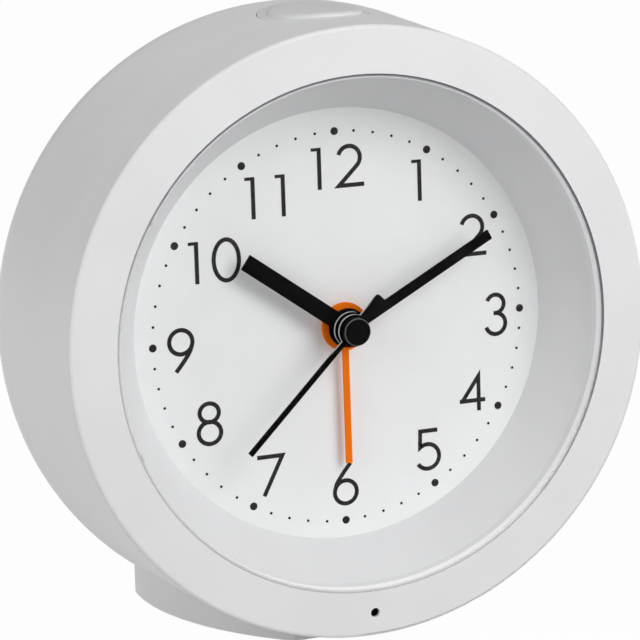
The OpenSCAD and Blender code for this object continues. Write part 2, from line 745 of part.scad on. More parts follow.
module movement_front_plate() stand() color(shade) difference() {
    union() {
        plate(front_y0, plate_t) {
            plate_outline();
            for (a = ear_angles) {
                translate(polar(ear_at, a)) circle(ear_r);
                rotate(a) translate([0, -ear_r]) square([ear_at, 2 * ear_r]);
            }
        }
        for (s = [-1, 1])
            rod([s * dial_pin_x, 0], front_y0 - dial_pin_len, dial_pin_len + 0.2, dial_pin_r);
        at_pillars() rod([0, 0], front_y1 - 0.5, middle_y0 - front_y1 + 0.5, pillar_r + 0.8);
        at_pillars() rod([0, 0], front_y1, back_y0 - front_y1, pillar_r);
    }
    rod([0, 0], front_y0 - 1, plate_t + 2, alarm_tube_r + run_fit);
    for (p = [time_set_p, alarm_set_p])
        rod(p, front_y0 - 0.1, plate_t + 1, pivot_r + run_fit);
    for (a = ear_angles)
        rod(polar(ear_at, a), front_y0 - 1, plate_t + 2, screw_r + run_fit);
    at_pillars() rod([0, 0], back_y0 - 5, 6, screw_r + run_fit);
}

module movement_middle_plate() stand() color(shade) difference() {
    union() {
        plate(middle_y0, plate_t) plate_outline();
        rod(motion_p, hour_y, middle_y0 - hour_y + 0.5, stud_r);
        for (s = [-1, 1])
            rod([stator_post_x, rotor_p.y + s * (stator_reach - stator_bar / 2)], middle_y1, stator_y - middle_y1,
                stator_post_r);
    }
    rod([0, 0], middle_y0 - 1, plate_t + 2, minute_tube_r + run_fit);
    for (p = [third_p, rotor_p])
        rod(p, middle_y0 - 1, plate_t + 2, pivot_r + run_fit);
    for (p = [time_set_p, alarm_set_p])
        rod(p, middle_y0 - 1, plate_t + 2, arbor_r + run_fit);
    at_pillars() rod([0, 0], middle_y0 - 1, plate_t + 2, pillar_r + seat_fit);
}

module movement_back_plate() stand() color(shade) difference() {
    union() {
        plate(back_y0, plate_t) plate_outline();
        rod(reduction_p, second_y, back_y0 - second_y + 0.5, fine_stud_r);
        for (s = [-1, 1])
            rod(board_peg(s), back_y1 - 0.5, board_t + 0.9, 0.7);
    }
    rod([0, 0], back_y0 - 1, plate_t + 2, second_arbor_r + run_fit);
    for (p = [third_p, rotor_p])
        rod(p, back_y0 - 1, plate_t + 2, pivot_r + run_fit);
    for (p = [time_set_p, alarm_set_p])
        rod(p, back_y0 - 1, plate_t + 2, arbor_r + run_fit);
    at_pillars() rod([0, 0], back_y0 - 1, plate_t + 2, screw_r + run_fit);
}

module movement_screws() stand() color(steel)
    for (a = ear_angles)
        screw(polar(ear_at, a), front_y1, plate_t + dial_t + dial_flange_t - 0.2);

module pillar_screws() stand() color(steel)
    at_pillars() screw([0, 0], back_y1, plate_t + 4);

// motor and electronics

module stator() stand() color(steel) plate(stator_y, stator_t) difference() {
    union() {
        translate(rotor_p) circle(magnet_r + stator_pole / 2);
        for (s = [-1, 1]) {
            translate([rotor_p.x - stator_pole / 2, rotor_p.y + (s > 0 ? 0 : -stator_reach)])
                square([stator_pole, stator_reach]);
            translate([rotor_p.x - stator_pole / 2, rotor_p.y + s * (stator_reach - stator_bar / 2) - stator_bar / 2])
                square([coil_x + stator_bar / 2 - rotor_p.x + stator_pole / 2, stator_bar]);
        }
        translate([coil_x - stator_bar / 2, rotor_p.y - stator_reach]) square([stator_bar, 2 * stator_reach]);
    }
    translate(rotor_p) circle(magnet_r + 0.4);
}

module coil_bobbin() stand() color(white)
    translate([coil_x, coil_y, rotor_p.y]) difference() {
        union() {
            cylinder(h = coil_len, r = core_r, center = true);
            for (s = [-1, 1])
                translate([0, 0, s * (coil_len + flange_t) / 2]) cylinder(h = flange_t, r = bobbin_r, center = true);
        }
        cube([stator_bar + 2 * seat_fit, stator_t + 2 * seat_fit, 2 * coil_len], center = true);
    }

module coil_winding() stand() color(copper)
    translate([coil_x, coil_y, rotor_p.y]) difference() {
        cylinder(h = coil_len - 2 * seat_fit, r = coil_r, center = true);
        cylinder(h = coil_len + 2, r = core_r + seat_fit, center = true);
    }

module circuit_board() stand() color(green) plate(back_y1, board_t) difference() {
    translate([-board_half, board_z - board_w]) square([2 * board_half, board_w]);
    for (s = [-1, 1])
        translate(board_peg(s)) circle(0.7 + seat_fit);
}

module driver_chip() stand() color(black)
    plate(back_y1 + board_t, 1.3) translate([-6, board_z - board_w / 2]) square([5, 5], center = true);

module quartz_crystal() stand() color(steel)
    translate([2, back_y1 + board_t + 1, board_z - board_w / 2]) rotate([0, 90, 0]) cylinder(h = 6, r = 1);

module buzzer() stand() color(black) {
    rod([0, buzzer_z], cover_in_y - 5, 5, buzzer_r);
    rod([0, buzzer_z], cover_in_y - 6, 1, buzzer_r - 2);
}

// wheels

module rotor() stand() color(grey) {
    rod(rotor_p, middle_y0 + 0.2, back_y1 - middle_y0 - 0.4, pivot_r);
    rod(rotor_p, stator_y - 0.3, stator_t + 0.6, magnet_r);
    gear(rotor_p, rotor_pinion_n, rotor_m, pinion_tip, rotor_phase, reduction_y, wheel_t);
}

module reduction_wheel() stand() color(brass) difference() {
    union() {
        gear(reduction_p, reduction_pinion_n, reduction_m, pinion_tip, reduction_phase, second_y, wheel_t);
        rod(reduction_p, second_y, reduction_y - second_y + wheel_t, 0.66);
        gear(reduction_p, reduction_wheel_n, rotor_m, wheel_tip, 0, reduction_y, wheel_t, 1.4, 4);
    }
    rod(reduction_p, second_y - 1, 6, fine_stud_r + run_fit);
}

module seconds_wheel() stand() color(brass) {
    rod([0, 0], second_hand_y - 0.5, back_y1 - 0.2 - second_hand_y + 0.5, second_arbor_r);
    gear([0, 0], second_pinion_n, third_m, pinion_tip, 0, third_y, wheel_t);
    gear([0, 0], second_wheel_n, reduction_m, wheel_tip, 0, second_y, wheel_t, 1.2, 4);
}

module third_wheel() stand() color(brass) {
    rod(third_p, middle_y0 + 0.2, back_y1 - middle_y0 - 0.4, pivot_r);
    gear(third_p, third_pinion_n, centre_m, pinion_tip, 0, centre_y, wheel_t);
    gear(third_p, third_wheel_n, third_m, wheel_tip, third_phase, third_y, wheel_t, 1.6, 5);
    rod(third_p, centre_y, third_y - centre_y, 0.6);
}

module centre_wheel() stand() color(brass) difference() {
    union() {
        gear([0, 0], centre_wheel_n, centre_m, wheel_tip, centre_phase, centre_y, wheel_t, 2, 5);
        rod([0, 0], minute_hand_y - 0.1, centre_y + wheel_t - minute_hand_y + 0.1, minute_tube_r);
        gear([0, 0], cannon_n, motion_m, pinion_tip, 0, motion_y, wheel_t);
    }
    rod([0, 0], 0, 2 * dial_depth + 20, minute_bore_r);
}

module motion_wheel() stand() color(white) difference() {
    union() {
        gear(motion_p, motion_wheel_n, motion_m, wheel_tip, motion_phase, motion_y, wheel_t, 1.8, 4);
        gear(motion_p, motion_pinion_n, hour_m, pinion_tip, 0, hour_y, wheel_t);
        rod(motion_p, hour_y, motion_y - hour_y, stud_r + run_fit + 0.4);
    }
    rod(motion_p, hour_y - 1, 6, stud_r + run_fit);
}

module hour_wheel() stand() color(white) difference() {
    union() {
        gear([0, 0], hour_wheel_n, hour_m, wheel_tip, hour_phase, hour_y, wheel_t, 2.8, 4);
        rod([0, 0], hour_hand_y - 0.1, hour_y + wheel_t - hour_hand_y + 0.1, hour_tube_r);
    }
    rod([0, 0], 0, 2 * dial_depth, hour_bore_r);
}

module alarm_wheel() stand() color(white) difference() {
    union() {
        gear([0, 0], alarm_wheel_n, alarm_m, wheel_tip, 0, alarm_y, wheel_t, 3.6, 6);
        rod([0, 0], alarm_hand_y + hand_t, alarm_y - alarm_hand_y - hand_t + wheel_t, alarm_tube_r);
        rod([0, 0], alarm_hand_y + 0.05, hand_t, alarm_tip_r);
    }
    rod([0, 0], 0, 2 * dial_depth, alarm_bore_r);
}

// hands

module second_hand() stand() color(black)
    plate(second_hand_y, hand_t) rotate(-second_angle) difference() {
        union() {
            circle(second_hub_r);
            translate([-second_w / 2, 0]) square([second_w, second_len]);
            translate([-tail_w / 2, 0.4 - tail_len]) square([tail_w, tail_len - 0.4]);
            translate([0.4 - tail_w / 2, -tail_len]) square([tail_w - 0.8, tail_len]);
            for (s = [-1, 1])
                translate([s * (tail_w / 2 - 0.4), 0.4 - tail_len]) circle(0.4);
        }
        circle(second_arbor_r + seat_fit);
    }

module second_hand_cap() stand() color(black) turned() difference() {
    polygon([[0, cap_y], [cap_r - 0.25, cap_y], [cap_r, cap_y + 0.25], [cap_r, second_hand_y], [0, second_hand_y]]);
    translate([-1, second_hand_y - 0.6]) square([1 + second_arbor_r + seat_fit, 1]);
}

module minute_hand() stand() color(black)
    hand(minute_hand_y, minute_angle, minute_len, minute_w, minute_hub_r, minute_tube_r + seat_fit);

module hour_hand() stand() color(black)
    hand(hour_hand_y, hour_angle, hour_len, hour_w, hour_hub_r, hour_tube_r + seat_fit);

module alarm_hand() stand() color(orange)
    hand(alarm_hand_y, alarm_angle, alarm_len, alarm_w, alarm_hub_r, alarm_tip_r + seat_fit);

// setting knobs

// an arbor from the front plate to its knob
module arbor(p) {
    rod(p, front_y0 + 0.2, plate_t, pivot_r);
    rod(p, front_y1 + layer_gap / 2, knob_y + 1.5 - front_y1 - layer_gap / 2, arbor_r);
}

module time_set_arbor() stand() color(steel) {
    arbor(time_set_p);
    gear(time_set_p, time_pinion_n, motion_m, pinion_tip, time_phase, motion_y, wheel_t);
}

module alarm_set_arbor() stand() color(steel) {
    arbor(alarm_set_p);
    gear(alarm_set_p, alarm_pinion_n, alarm_m, pinion_tip, alarm_phase, alarm_y, wheel_t);
}

// a fluted knob whose hub passes through the rear cover
module knob(p) difference() {
    union() {
        rod(p, cover_in_y - 0.8, knob_y - cover_in_y + 0.8, hub_r);
        rod(p, knob_y, knob_h, knob_r);
    }
    rod(p, 0, knob_y + 1.6, arbor_r + seat_fit);
    for (i = [0 : 17])
        rod(p + polar(knob_r + 0.25, 20 * i), knob_y - 1, knob_h + 2, 0.6);
}

module time_set_knob() stand() color(shade) knob(time_set_p);

module alarm_set_knob() stand() color(shade) knob(alarm_set_p);

// snooze button

module snooze_button() stand() color(shade) {
    intersection() {
        translate([0, snooze_y, snooze_seat - 0.5]) cylinder(h = rim_r, r = snooze_r);
        translate([0, 0, snooze_raise]) turned() skin();
    }
    translate([0, snooze_y, snooze_seat - snooze_flange_t]) cylinder(h = snooze_flange_t, r = snooze_r + snooze_lip);
    translate([0, snooze_y, plunger_top]) cylinder(h = stem_len + 0.5, r = 2);
}

module snooze_plunger() stand() color(black)
    translate([0, snooze_y, plunger_top - plunger_h - 1]) cylinder(h = plunger_h + 1, r = plunger_r);

module snooze_switch() stand() color(black) difference() {
    translate([-switch_half, snooze_y - switch_half, switch_z]) cube([2 * switch_half, 2 * switch_half, switch_h]);
    translate([0, snooze_y, switch_z + 0.6]) cylinder(h = switch_h, r = plunger_r + run_fit);
}

module snooze_board() stand() color(green) difference() {
    translate([-snooze_post_x - 3, snooze_y - 4.5, switch_z - board_t])
        cube([2 * snooze_post_x + 6, 9, board_t]);
    for (s = [-1, 1])
        translate([s * snooze_post_x, snooze_y, switch_z - board_t - 1]) cylinder(h = board_t + 2, r = screw_r + run_fit);
}

module snooze_board_screws() stand() color(steel)
    for (s = [-1, 1])
        translate([s * snooze_post_x, snooze_y, switch_z - board_t]) {
            translate([0, 0, -head_t]) cylinder(h = head_t, r = head_r);
            cylinder(h = board_t + 4.5, r = screw_r);
        }

// alarm slider, shown switched off

module alarm_slider() stand() color(shade) {
    difference() {
        plate(cover_in_y - 0.5, wall + slider_rise + 0.5) translate([slider_x, slider_z])
            square([slider_len, slider_w], center = true);
        for (i = [-1 : 1])
            translate([slider_x + 1.4 * i - 0.25, cover_y + slider_rise - 0.5, slider_z - slider_w])
                cube([0.5, 1, 2 * slider_w]);
    }
    plate(cover_in_y - move_gap - slider_plate_t, slider_plate_t) translate([slider_x, slider_z])
        square([2 * slider_plate_half, slider_plate_w], center = true);
}

module alarm_slider_case() stand() color(black) difference() {
    plate(cover_in_y - case_deep, case_deep) translate([0, slider_z])
        square([2 * case_half, case_w], center = true);
    plate(cover_in_y - move_gap - slider_plate_t - 0.2, case_deep) translate([0, slider_z])
        square([2 * (case_half - case_t), case_w - 2 * case_t], center = true);
}

housing();
lens();
dial_ring();
dial_ring_screws();
dial();
light_sensor();
sensor_board();
rear_cover();
rear_cover_screws();
battery_door();
battery();
battery_contact_plus();
battery_contact_minus();
foot();
foot_pads();
foot_screws();
movement_front_plate();
movement_middle_plate();
movement_back_plate();
movement_screws();
pillar_screws();
stator();
coil_bobbin();
coil_winding();
circuit_board();
driver_chip();
quartz_crystal();
buzzer();
rotor();
reduction_wheel();
seconds_wheel();
third_wheel();
centre_wheel();
motion_wheel();
hour_wheel();
alarm_wheel();
second_hand();
second_hand_cap();
minute_hand();
hour_hand();
alarm_hand();
time_set_arbor();
time_set_knob();
alarm_set_arbor();
alarm_set_knob();
snooze_button();
snooze_plunger();
snooze_switch();
snooze_board();
snooze_board_screws();
alarm_slider();
alarm_slider_case();
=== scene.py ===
"""Quartz alarm clock: finishes for its solids, the lens' fitting, the caps, the prints and a studio."""

import json
import logging
import math
from collections.abc import Callable, Sequence
from dataclasses import dataclass
from enum import Enum

import bpy
from mathutils import Matrix, Vector


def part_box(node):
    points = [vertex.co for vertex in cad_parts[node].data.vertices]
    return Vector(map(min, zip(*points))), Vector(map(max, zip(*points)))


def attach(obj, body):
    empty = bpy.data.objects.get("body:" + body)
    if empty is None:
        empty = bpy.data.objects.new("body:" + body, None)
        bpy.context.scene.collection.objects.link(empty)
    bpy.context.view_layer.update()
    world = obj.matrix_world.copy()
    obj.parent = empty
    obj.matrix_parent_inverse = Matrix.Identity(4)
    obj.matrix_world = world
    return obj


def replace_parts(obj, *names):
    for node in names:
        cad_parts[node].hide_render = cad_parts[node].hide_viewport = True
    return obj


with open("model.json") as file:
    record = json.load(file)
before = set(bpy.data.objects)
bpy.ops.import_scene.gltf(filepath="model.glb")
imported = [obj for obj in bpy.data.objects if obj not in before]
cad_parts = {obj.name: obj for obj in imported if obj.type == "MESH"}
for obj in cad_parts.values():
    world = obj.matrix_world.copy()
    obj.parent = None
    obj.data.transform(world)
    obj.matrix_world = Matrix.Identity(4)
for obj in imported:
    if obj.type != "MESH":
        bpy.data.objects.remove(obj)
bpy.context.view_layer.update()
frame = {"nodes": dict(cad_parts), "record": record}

LOG = logging.getLogger("alarm_clock")
MM = 0.001
# Two points closer than this become one
DOUBLE = 0.0005 * MM
# Side of the square that a pen's first point is merged from
NIB = 0.1 * MM
# How far the crown of the front ring stands before the drum's rim
CROWN = 0.65 * MM
# Parts of a normal along Y: over FLAT a face lies across Y, and under STEEP it runs along Y
FLAT = 0.9
STEEP = 0.5
# Turn that stands a flat circle up across Y
UPRIGHT = (math.pi / 2, 0.0, 0.0)
Colour = tuple[float, float, float, float]
Point = tuple[float, float]


def grey(level: float) -> Colour:
    """Gives a neutral colour of one level."""
    return (level, level, level, 1.0)


def shade(colour: Colour, share: float, lift: float = 0.0) -> Colour:
    """Gives a colour whose levels are multiplied by a share and then raised."""
    red, green, blue = (level * share + lift for level in colour[:3])
    return (red, green, blue, 1.0)


def across(point: Point) -> Vector:
    """Gives the shift in metres for millimetres to the right and up."""
    return Vector((point[0] * MM, 0.0, point[1] * MM))


class Picks(Enum):
    """What edit mode selects."""

    POINTS = "VERT"
    FACES = "FACE"


class Axis(Enum):
    """Directions that shapes are turned about."""

    DEPTH = (0.0, 1.0, 0.0)
    HEIGHT = (0.0, 0.0, 1.0)


class Outward(Enum):
    """The side that a printed face looks to, as the sign of its normal along Y."""

    FRONT = -1.0
    BACK = 1.0


class Maths(Enum):
    """Operations of a Math node."""

    ADD = "ADD"
    SUBTRACT = "SUBTRACT"
    MULTIPLY = "MULTIPLY"
    DIVIDE = "DIVIDE"
    POWER = "POWER"
    ABSOLUTE = "ABSOLUTE"
    MAXIMUM = "MAXIMUM"
    GREATER = "GREATER_THAN"
    LESS = "LESS_THAN"
    FRACTION = "FRACT"


class Signal:
    """A node's output, on which Python arithmetic adds Math nodes."""

    def __init__(self, graph: "Graph", socket: bpy.types.NodeSocket) -> None:
        """Keeps the socket and the graph that it stands in."""
        self.graph = graph
        self.socket = socket

    def maths(self, operation: Maths, *values: "Signal | float") -> "Signal":
        """Adds one Math node.

        Args:
            operation: what the node does.
            values: its inputs in order, links or numbers.

        Returns:
            The node's result.
        """
        return self.graph.node("ShaderNodeMath", {"operation": operation.value}, dict(enumerate(values)))[0]

    def __add__(self, other: "Signal | float") -> "Signal":
        """Adds a value."""
        return self.maths(Maths.ADD, self, other)

    __radd__ = __add__

    def __sub__(self, other: "Signal | float") -> "Signal":
        """Takes a value away."""
        return self.maths(Maths.SUBTRACT, self, other)

    def __rsub__(self, other: "Signal | float") -> "Signal":
        """Takes this away from a value."""
        return self.maths(Maths.SUBTRACT, other, self)

    def __mul__(self, other: "Signal | float") -> "Signal":
        """Multiplies by a value."""
        return self.maths(Maths.MULTIPLY, self, other)

    __rmul__ = __mul__

    def __truediv__(self, other: "Signal | float") -> "Signal":
        """Divides by a value."""
        return self.maths(Maths.DIVIDE, self, other)

    def __rtruediv__(self, other: "Signal | float") -> "Signal":
        """Divides a value by this."""
        return self.maths(Maths.DIVIDE, other, self)

    def __pow__(self, other: "Signal | float") -> "Signal":
        """Raises to a power."""
        return self.maths(Maths.POWER, self, other)

    def __gt__(self, other: "Signal | float") -> "Signal":
        """Gives 1 where this is the greater."""
        return self.maths(Maths.GREATER, self, other)

    def __lt__(self, other: "Signal | float") -> "Signal":
        """Gives 1 where this is the smaller."""
        return self.maths(Maths.LESS, self, other)

    def __abs__(self) -> "Signal":
        """Drops the sign."""
        return self.maths(Maths.ABSOLUTE, self)

    def most(self, other: "Signal | float") -> "Signal":
        """Gives the greater of two values."""
        return self.maths(Maths.MAXIMUM, self, other)

    def cycle(self) -> "Signal":
        """Gives the part after the point, which repeats once a unit."""
        return self.maths(Maths.FRACTION, self)

    def ease(self, low: float, high: float) -> "Signal":
        """Goes softly from 0 to 1 between two values.

        Args:
            low: where it leaves 0.
            high: where it reaches 1.

        Returns:
            The eased value.
        """
        settings = {"interpolation_type": "SMOOTHSTEP"}
        return self.graph.node("ShaderNodeMapRange", settings, {0: self, 1: low, 2: high})[0]


class Made:
    """A node that has been added, read by the name or number of an output."""

    def __init__(self, graph: "Graph", node: bpy.types.Node) -> None:
        """Keeps the node and its graph."""
        self.graph = graph
        self.node = node

    def __getitem__(self, output: str | int) -> Signal:
        """Gives one output."""
        return Signal(self.graph, self.node.outputs[output])


class Graph:
    """A node tree that is written one node at a time."""

    def __init__(self, tree: bpy.types.NodeTree) -> None:
        """Starts on an empty tree."""
        self.tree = tree
        self.tree.nodes.clear()

    def node(self, kind: str, settings: dict | None = None, sockets: dict | None = None) -> Made:
        """Adds a node.

        Args:
            kind: the node's type.
            settings: its properties.
            sockets: values or links of its inputs, by name or number.

        Returns:
            The node.
        """
        made = self.tree.nodes.new(kind)
        for name, value in (settings or {}).items():
            setattr(made, name, value)
        for name, value in (sockets or {}).items():
            if isinstance(value, Signal):
                self.tree.links.new(value.socket, made.inputs[name])
            else:
                made.inputs[name].default_value = value
        return Made(self, made)

    def place(self) -> Signal:
        """Gives the place on the piece, in metres."""
        return self.node("ShaderNodeTexCoord")["Object"]

    def parts(self, vector: Signal) -> tuple[Signal, Signal, Signal]:
        """Splits a vector into x, y and z."""
        split = self.node("ShaderNodeSeparateXYZ", None, {0: vector})
        return split[0], split[1], split[2]

    def facing(self) -> Signal:
        """Tells how squarely a face lies across Y, from 0 to 1."""
        return abs(self.parts(self.node("ShaderNodeNewGeometry")["Normal"])[1])

    def stretched(self, scale: tuple[float, float, float]) -> Signal:
        """Gives the place on the piece with each axis scaled."""
        return self.node("ShaderNodeMapping", None, {"Vector": self.place(), "Scale": scale})[0]

    def noise(self, size: float, detail: float = 2.0, at: Signal | None = None) -> Signal:
        """Adds cloudy variation.

        Args:
            size: the size of a cloud in millimetres.
            detail: how many finer layers it has.
            at: where it is read, or the place on the piece.

        Returns:
            Values about 0.5.
        """
        sockets = {"Vector": at or self.place(), "Scale": 1.0 / (size * MM), "Detail": detail}
        return self.node("ShaderNodeTexNoise", None, sockets)[0]

    def tint(self, mask: Signal, low: Colour | Signal, high: Colour | Signal) -> Signal:
        """Mixes two colours.

        Args:
            mask: 0 gives the first colour and 1 the second.
            low: the first colour.
            high: the second colour.

        Returns:
            The mixed colour.
        """
        return self.node("ShaderNodeMix", {"data_type": "RGBA"}, {0: mask, 6: low, 7: high})[2]

    def relief(self, height: Signal, depth: float) -> Signal:
        """Turns heights into a surface normal.

        Args:
            height: the heights, from 0 to 1.
            depth: the depth of a unit of height, in millimetres.

        Returns:
            The normal.
        """
        sockets = {"Height": height, "Distance": depth * MM, "Strength": 1.0}
        return self.node("ShaderNodeBump", None, sockets)[0]

    def principled(self, sockets: dict) -> Signal:
        """Adds the main surface shader."""
        return self.node("ShaderNodeBsdfPrincipled", None, sockets)[0]

    def blend(self, mask: Signal | float, first: Signal, second: Signal) -> Signal:
        """Mixes two shaders."""
        return self.node("ShaderNodeMixShader", None, {0: mask, 1: first, 2: second})[0]

    def surface(self, shader: Signal) -> None:
        """Ends a material with its shader."""
        self.node("ShaderNodeOutputMaterial", None, {"Surface": shader})


@dataclass(frozen=True)
class Finish:
    """A finish of the clock, made into a material once.

    Attributes:
        name: the material's name.
    """

    name: str

    def material(self) -> bpy.types.Material:
        """Gives the finish's material, and writes it on first use."""
        title = f"{self.name}_finish"
        made = bpy.data.materials.get(title)
        if made is None:
            made = bpy.data.materials.new(title)
            made.use_nodes = True
            self.write(Graph(made.node_tree))
        return made

    def write(self, graph: Graph) -> None:
        """Writes the finish's nodes."""
        raise NotImplementedError


@dataclass(frozen=True)
class MouldedPlastic(Finish):
    """Injection moulded plastic with the fine grain of its mould.

    Attributes:
        colour: colour of the plastic.
        roughness: gloss, from 0 for a mirror to 1 for chalk.
        grain: size of the mould's grain in millimetres.
        depth: depth of the grain in millimetres.
        mottle: how much the colour varies.
        specular: strength of its shine, 0.5 for plain plastic.
        flow: size of its flow marks in millimetres.
    """

    colour: Colour
    roughness: float = 0.42
    grain: float = 0.3
    depth: float = 0.004
    mottle: float = 0.03
    specular: float = 0.5
    flow: float = 14.0

    def write(self, graph: Graph) -> None:
        """Writes grain, faint flow marks and uneven gloss."""
        flow = graph.noise(self.flow, 3.0)
        fine = graph.noise(self.grain, 2.0)
        dull = shade(self.colour, 1.0 - self.mottle)
        graph.surface(graph.principled({
            "Base Color": graph.tint(flow.ease(0.3, 0.7), dull, self.colour),
            "Roughness": self.roughness + (flow - 0.5) * 0.1 + (fine - 0.5) * 0.08,
            "IOR": 1.5,
            "Specular IOR Level": self.specular,
            "Normal": graph.relief(fine, self.depth),
        }))


@dataclass(frozen=True)
class DialPaint(Finish):
    """Matt white paint on the dial, with the light bloom of a sprayed coat.

    Attributes:
        colour: colour of the paint.
        dull: share of the colour that the bloom leaves.
        bloom: size of the bloom's clouds in millimetres.
        peel: size of the orange peel in millimetres.
        depth: depth of the peel in millimetres.
    """

    colour: Colour
    dull: float = 0.98
    bloom: float = 9.0
    peel: float = 0.5
    depth: float = 0.002

    def write(self, graph: Graph) -> None:
        """Writes the paint's bloom and its fine orange peel."""
        bloom = graph.noise(self.bloom, 2.0)
        peel = graph.noise(self.peel, 1.0)
        graph.surface(graph.principled({
            "Base Color": graph.tint(bloom.ease(0.3, 0.7), shade(self.colour, self.dull), self.colour),
            "Roughness": 0.62 + (peel - 0.5) * 0.1,
            "IOR": 1.45,
            "Normal": graph.relief(peel, self.depth),
        }))


@dataclass(frozen=True)
class PrintedInk(Finish):
    """Screen printed ink, thin and a little uneven.

    Attributes:
        colour: colour of the ink.
        thin: colour where the ink is thin.
        patch: size of a thin patch in millimetres.
        depth: how much lower it lies, in millimetres.
    """

    colour: Colour
    thin: Colour
    patch: float = 0.22
    depth: float = 0.001

    def write(self, graph: Graph) -> None:
        """Writes the ink's uneven cover."""
        cover = graph.noise(self.patch, 2.0)
        graph.surface(graph.principled({
            "Base Color": graph.tint(cover.ease(0.45, 0.75), self.colour, self.thin),
            "Roughness": 0.5 + (cover - 0.5) * 0.2,
            "IOR": 1.45,
            "Specular IOR Level": 0.2,
            "Normal": graph.relief(cover, self.depth),
        }))


@dataclass(frozen=True)
class HandLacquer(Finish):
    """Dark lacquered metal, with a painted glint on the chamfers or with the side faces left pale round the
    hub.

    Attributes:
        colour: colour of the lacquer.
        bare: how far from the hands' axis the pale edge reaches, in millimetres; 0 for none.
        height: height of that axis in metres.
        painted_glint: grey level of the painted glint on the chamfers; 0 for none.
        steel: grey level of the pale edge.
        fade: distance over which the pale edge ends, in millimetres.
        cloud: size of the lacquer's lighter clouds in millimetres.
        speck: size of its specks in millimetres.
        depth: depth of the specks in millimetres.
    """

    colour: Colour
    bare: float = 0.0
    height: float = 0.0
    painted_glint: float = 0.0
    steel: float = 0.6
    fade: float = 2.2
    cloud: float = 1.6
    speck: float = 0.35
    depth: float = 0.0015

    def write(self, graph: Graph) -> None:
        """Writes satin lacquer, and the chamfers' painted glint or the pale edge where there are any."""
        speck = graph.noise(self.speck, 3.0)
        cloud = graph.noise(self.cloud, 2.0)
        lacquer = graph.tint(cloud.ease(0.4, 0.8), self.colour, shade(self.colour, 1.5, 0.001))
        # Painted highlight: the chamfers are lightened to a grey glint all round.
        if self.painted_glint:
            facing = graph.facing()
            lacquer = graph.tint((facing > STEEP) * (facing < FLAT), lacquer, grey(self.painted_glint))
        if self.bare:
            x, _, z = graph.parts(graph.place())
            radius = (x * x + (z - self.height) * (z - self.height)) ** 0.5
            edge = (graph.facing() < STEEP) * (1 - (radius / MM).ease(self.bare, self.bare + self.fade))
            lacquer = graph.tint(edge, lacquer, grey(self.steel))
        graph.surface(graph.principled({
            "Base Color": lacquer,
            "Roughness": 0.46 + (speck - 0.5) * 0.16,
            "IOR": 1.48,
            "Specular IOR Level": 0.03,
            "Normal": graph.relief(speck, self.depth),
        }))


@dataclass(frozen=True)
class ClearAcrylic(Finish):
    """Clear moulded lens with a coated front, and an edge that is partly white as a painted highlight.

    Attributes:
        colour: tint of the plastic.
        edge: tint of the edge.
        index: refractive index of the plastic.
        wipe: size of the wiping marks in millimetres.
        edge_highlight: least share of the edge that is white, as a painted highlight.
    """

    colour: Colour
    edge: Colour
    index: float = 1.49
    wipe: float = 3.0
    edge_highlight: float = 0.55

    def write(self, graph: Graph) -> None:
        """Writes clear plastic with faint wiping marks, and an edge between clear and white, the white a
        painted highlight.
        """
        wiped = graph.noise(self.wipe, 4.0, graph.stretched((1.0, 1.0, 0.25)))
        polished = {"Roughness": 0.0, "IOR": self.index}
        bent = graph.node("ShaderNodeBsdfRefraction", None, {"Color": self.colour, **polished})[0]
        shine = graph.node("ShaderNodeBsdfAnisotropic", None, {"Color": grey(1.0), "Roughness": 0.08})[0]
        flat = graph.blend(0.001 + wiped.ease(0.5, 0.75) * 0.003, bent, shine)
        glass = graph.node("ShaderNodeBsdfGlass", None, {"Color": self.edge, **polished})[0]
        white = graph.node("ShaderNodeBsdfDiffuse", None, {"Color": self.edge})[0]
        # Painted highlight: diffuse white on the edge stands in for the light that the polished edge
        # gathers.
        rim = graph.blend(self.edge_highlight + wiped * 0.2, glass, white)
        path = graph.node("ShaderNodeLightPath")
        passing = path["Is Shadow Ray"].most(path["Is Diffuse Ray"])
        clear = graph.node("ShaderNodeBsdfTransparent")[0]
        graph.surface(graph.blend(passing, graph.blend(graph.facing() < FLAT, flat, rim), clear))


@dataclass(frozen=True)
class Metal(Finish):
    """Plain or plated metal with fine drawn marks.

    Attributes:
        colour: colour of the metal.
        stain: colour of its duller patches.
        roughness: gloss, from 0 for a mirror to 1 for chalk.
        marks: scale of the drawn marks along x, y and z; the smallest is along the marks.
        drawn: width of the drawn marks in millimetres.
        depth: their depth in millimetres.
        patch: size of the duller patches in millimetres.
    """

    colour: Colour
    stain: Colour
    roughness: float = 0.28
    marks: tuple[float, float, float] = (1.0, 1.0, 0.06)
    drawn: float = 0.12
    depth: float = 0.002
    patch: float = 2.5

    def write(self, graph: Graph) -> None:
        """Writes drawn marks and stains."""
        drawn = graph.noise(self.drawn, 2.0, graph.stretched(self.marks))
        patch = graph.noise(self.patch, 3.0)
        graph.surface(graph.principled({
            "Base Color": graph.tint(patch.ease(0.45, 0.8), self.colour, self.stain),
            "Metallic": 1.0,
            "Roughness": self.roughness + (drawn - 0.5) * 0.2 + (patch - 0.5) * 0.15,
            "Normal": graph.relief(drawn, self.depth),
        }))


@dataclass(frozen=True)
class SoftRubber(Finish):
    """Dark rubber of the foot pads.

    Attributes:
        colour: colour of the rubber.
        dusty: how much lighter the dust is.
        dust: size of the dusty patches in millimetres.
        grain: size of the grain in millimetres.
        depth: depth of the grain in millimetres.
    """

    colour: Colour
    dusty: float = 0.05
    dust: float = 1.2
    grain: float = 0.15
    depth: float = 0.012

    def write(self, graph: Graph) -> None:
        """Writes dusty, fine grained rubber."""
        dust = graph.noise(self.dust, 4.0)
        grain = graph.noise(self.grain, 1.0)
        graph.surface(graph.principled({
            "Base Color": graph.tint(dust.ease(0.5, 0.8), self.colour, shade(self.colour, 1.0, self.dusty)),
            "Roughness": 0.78 + (dust - 0.5) * 0.2,
            "Normal": graph.relief(grain, self.depth),
        }))


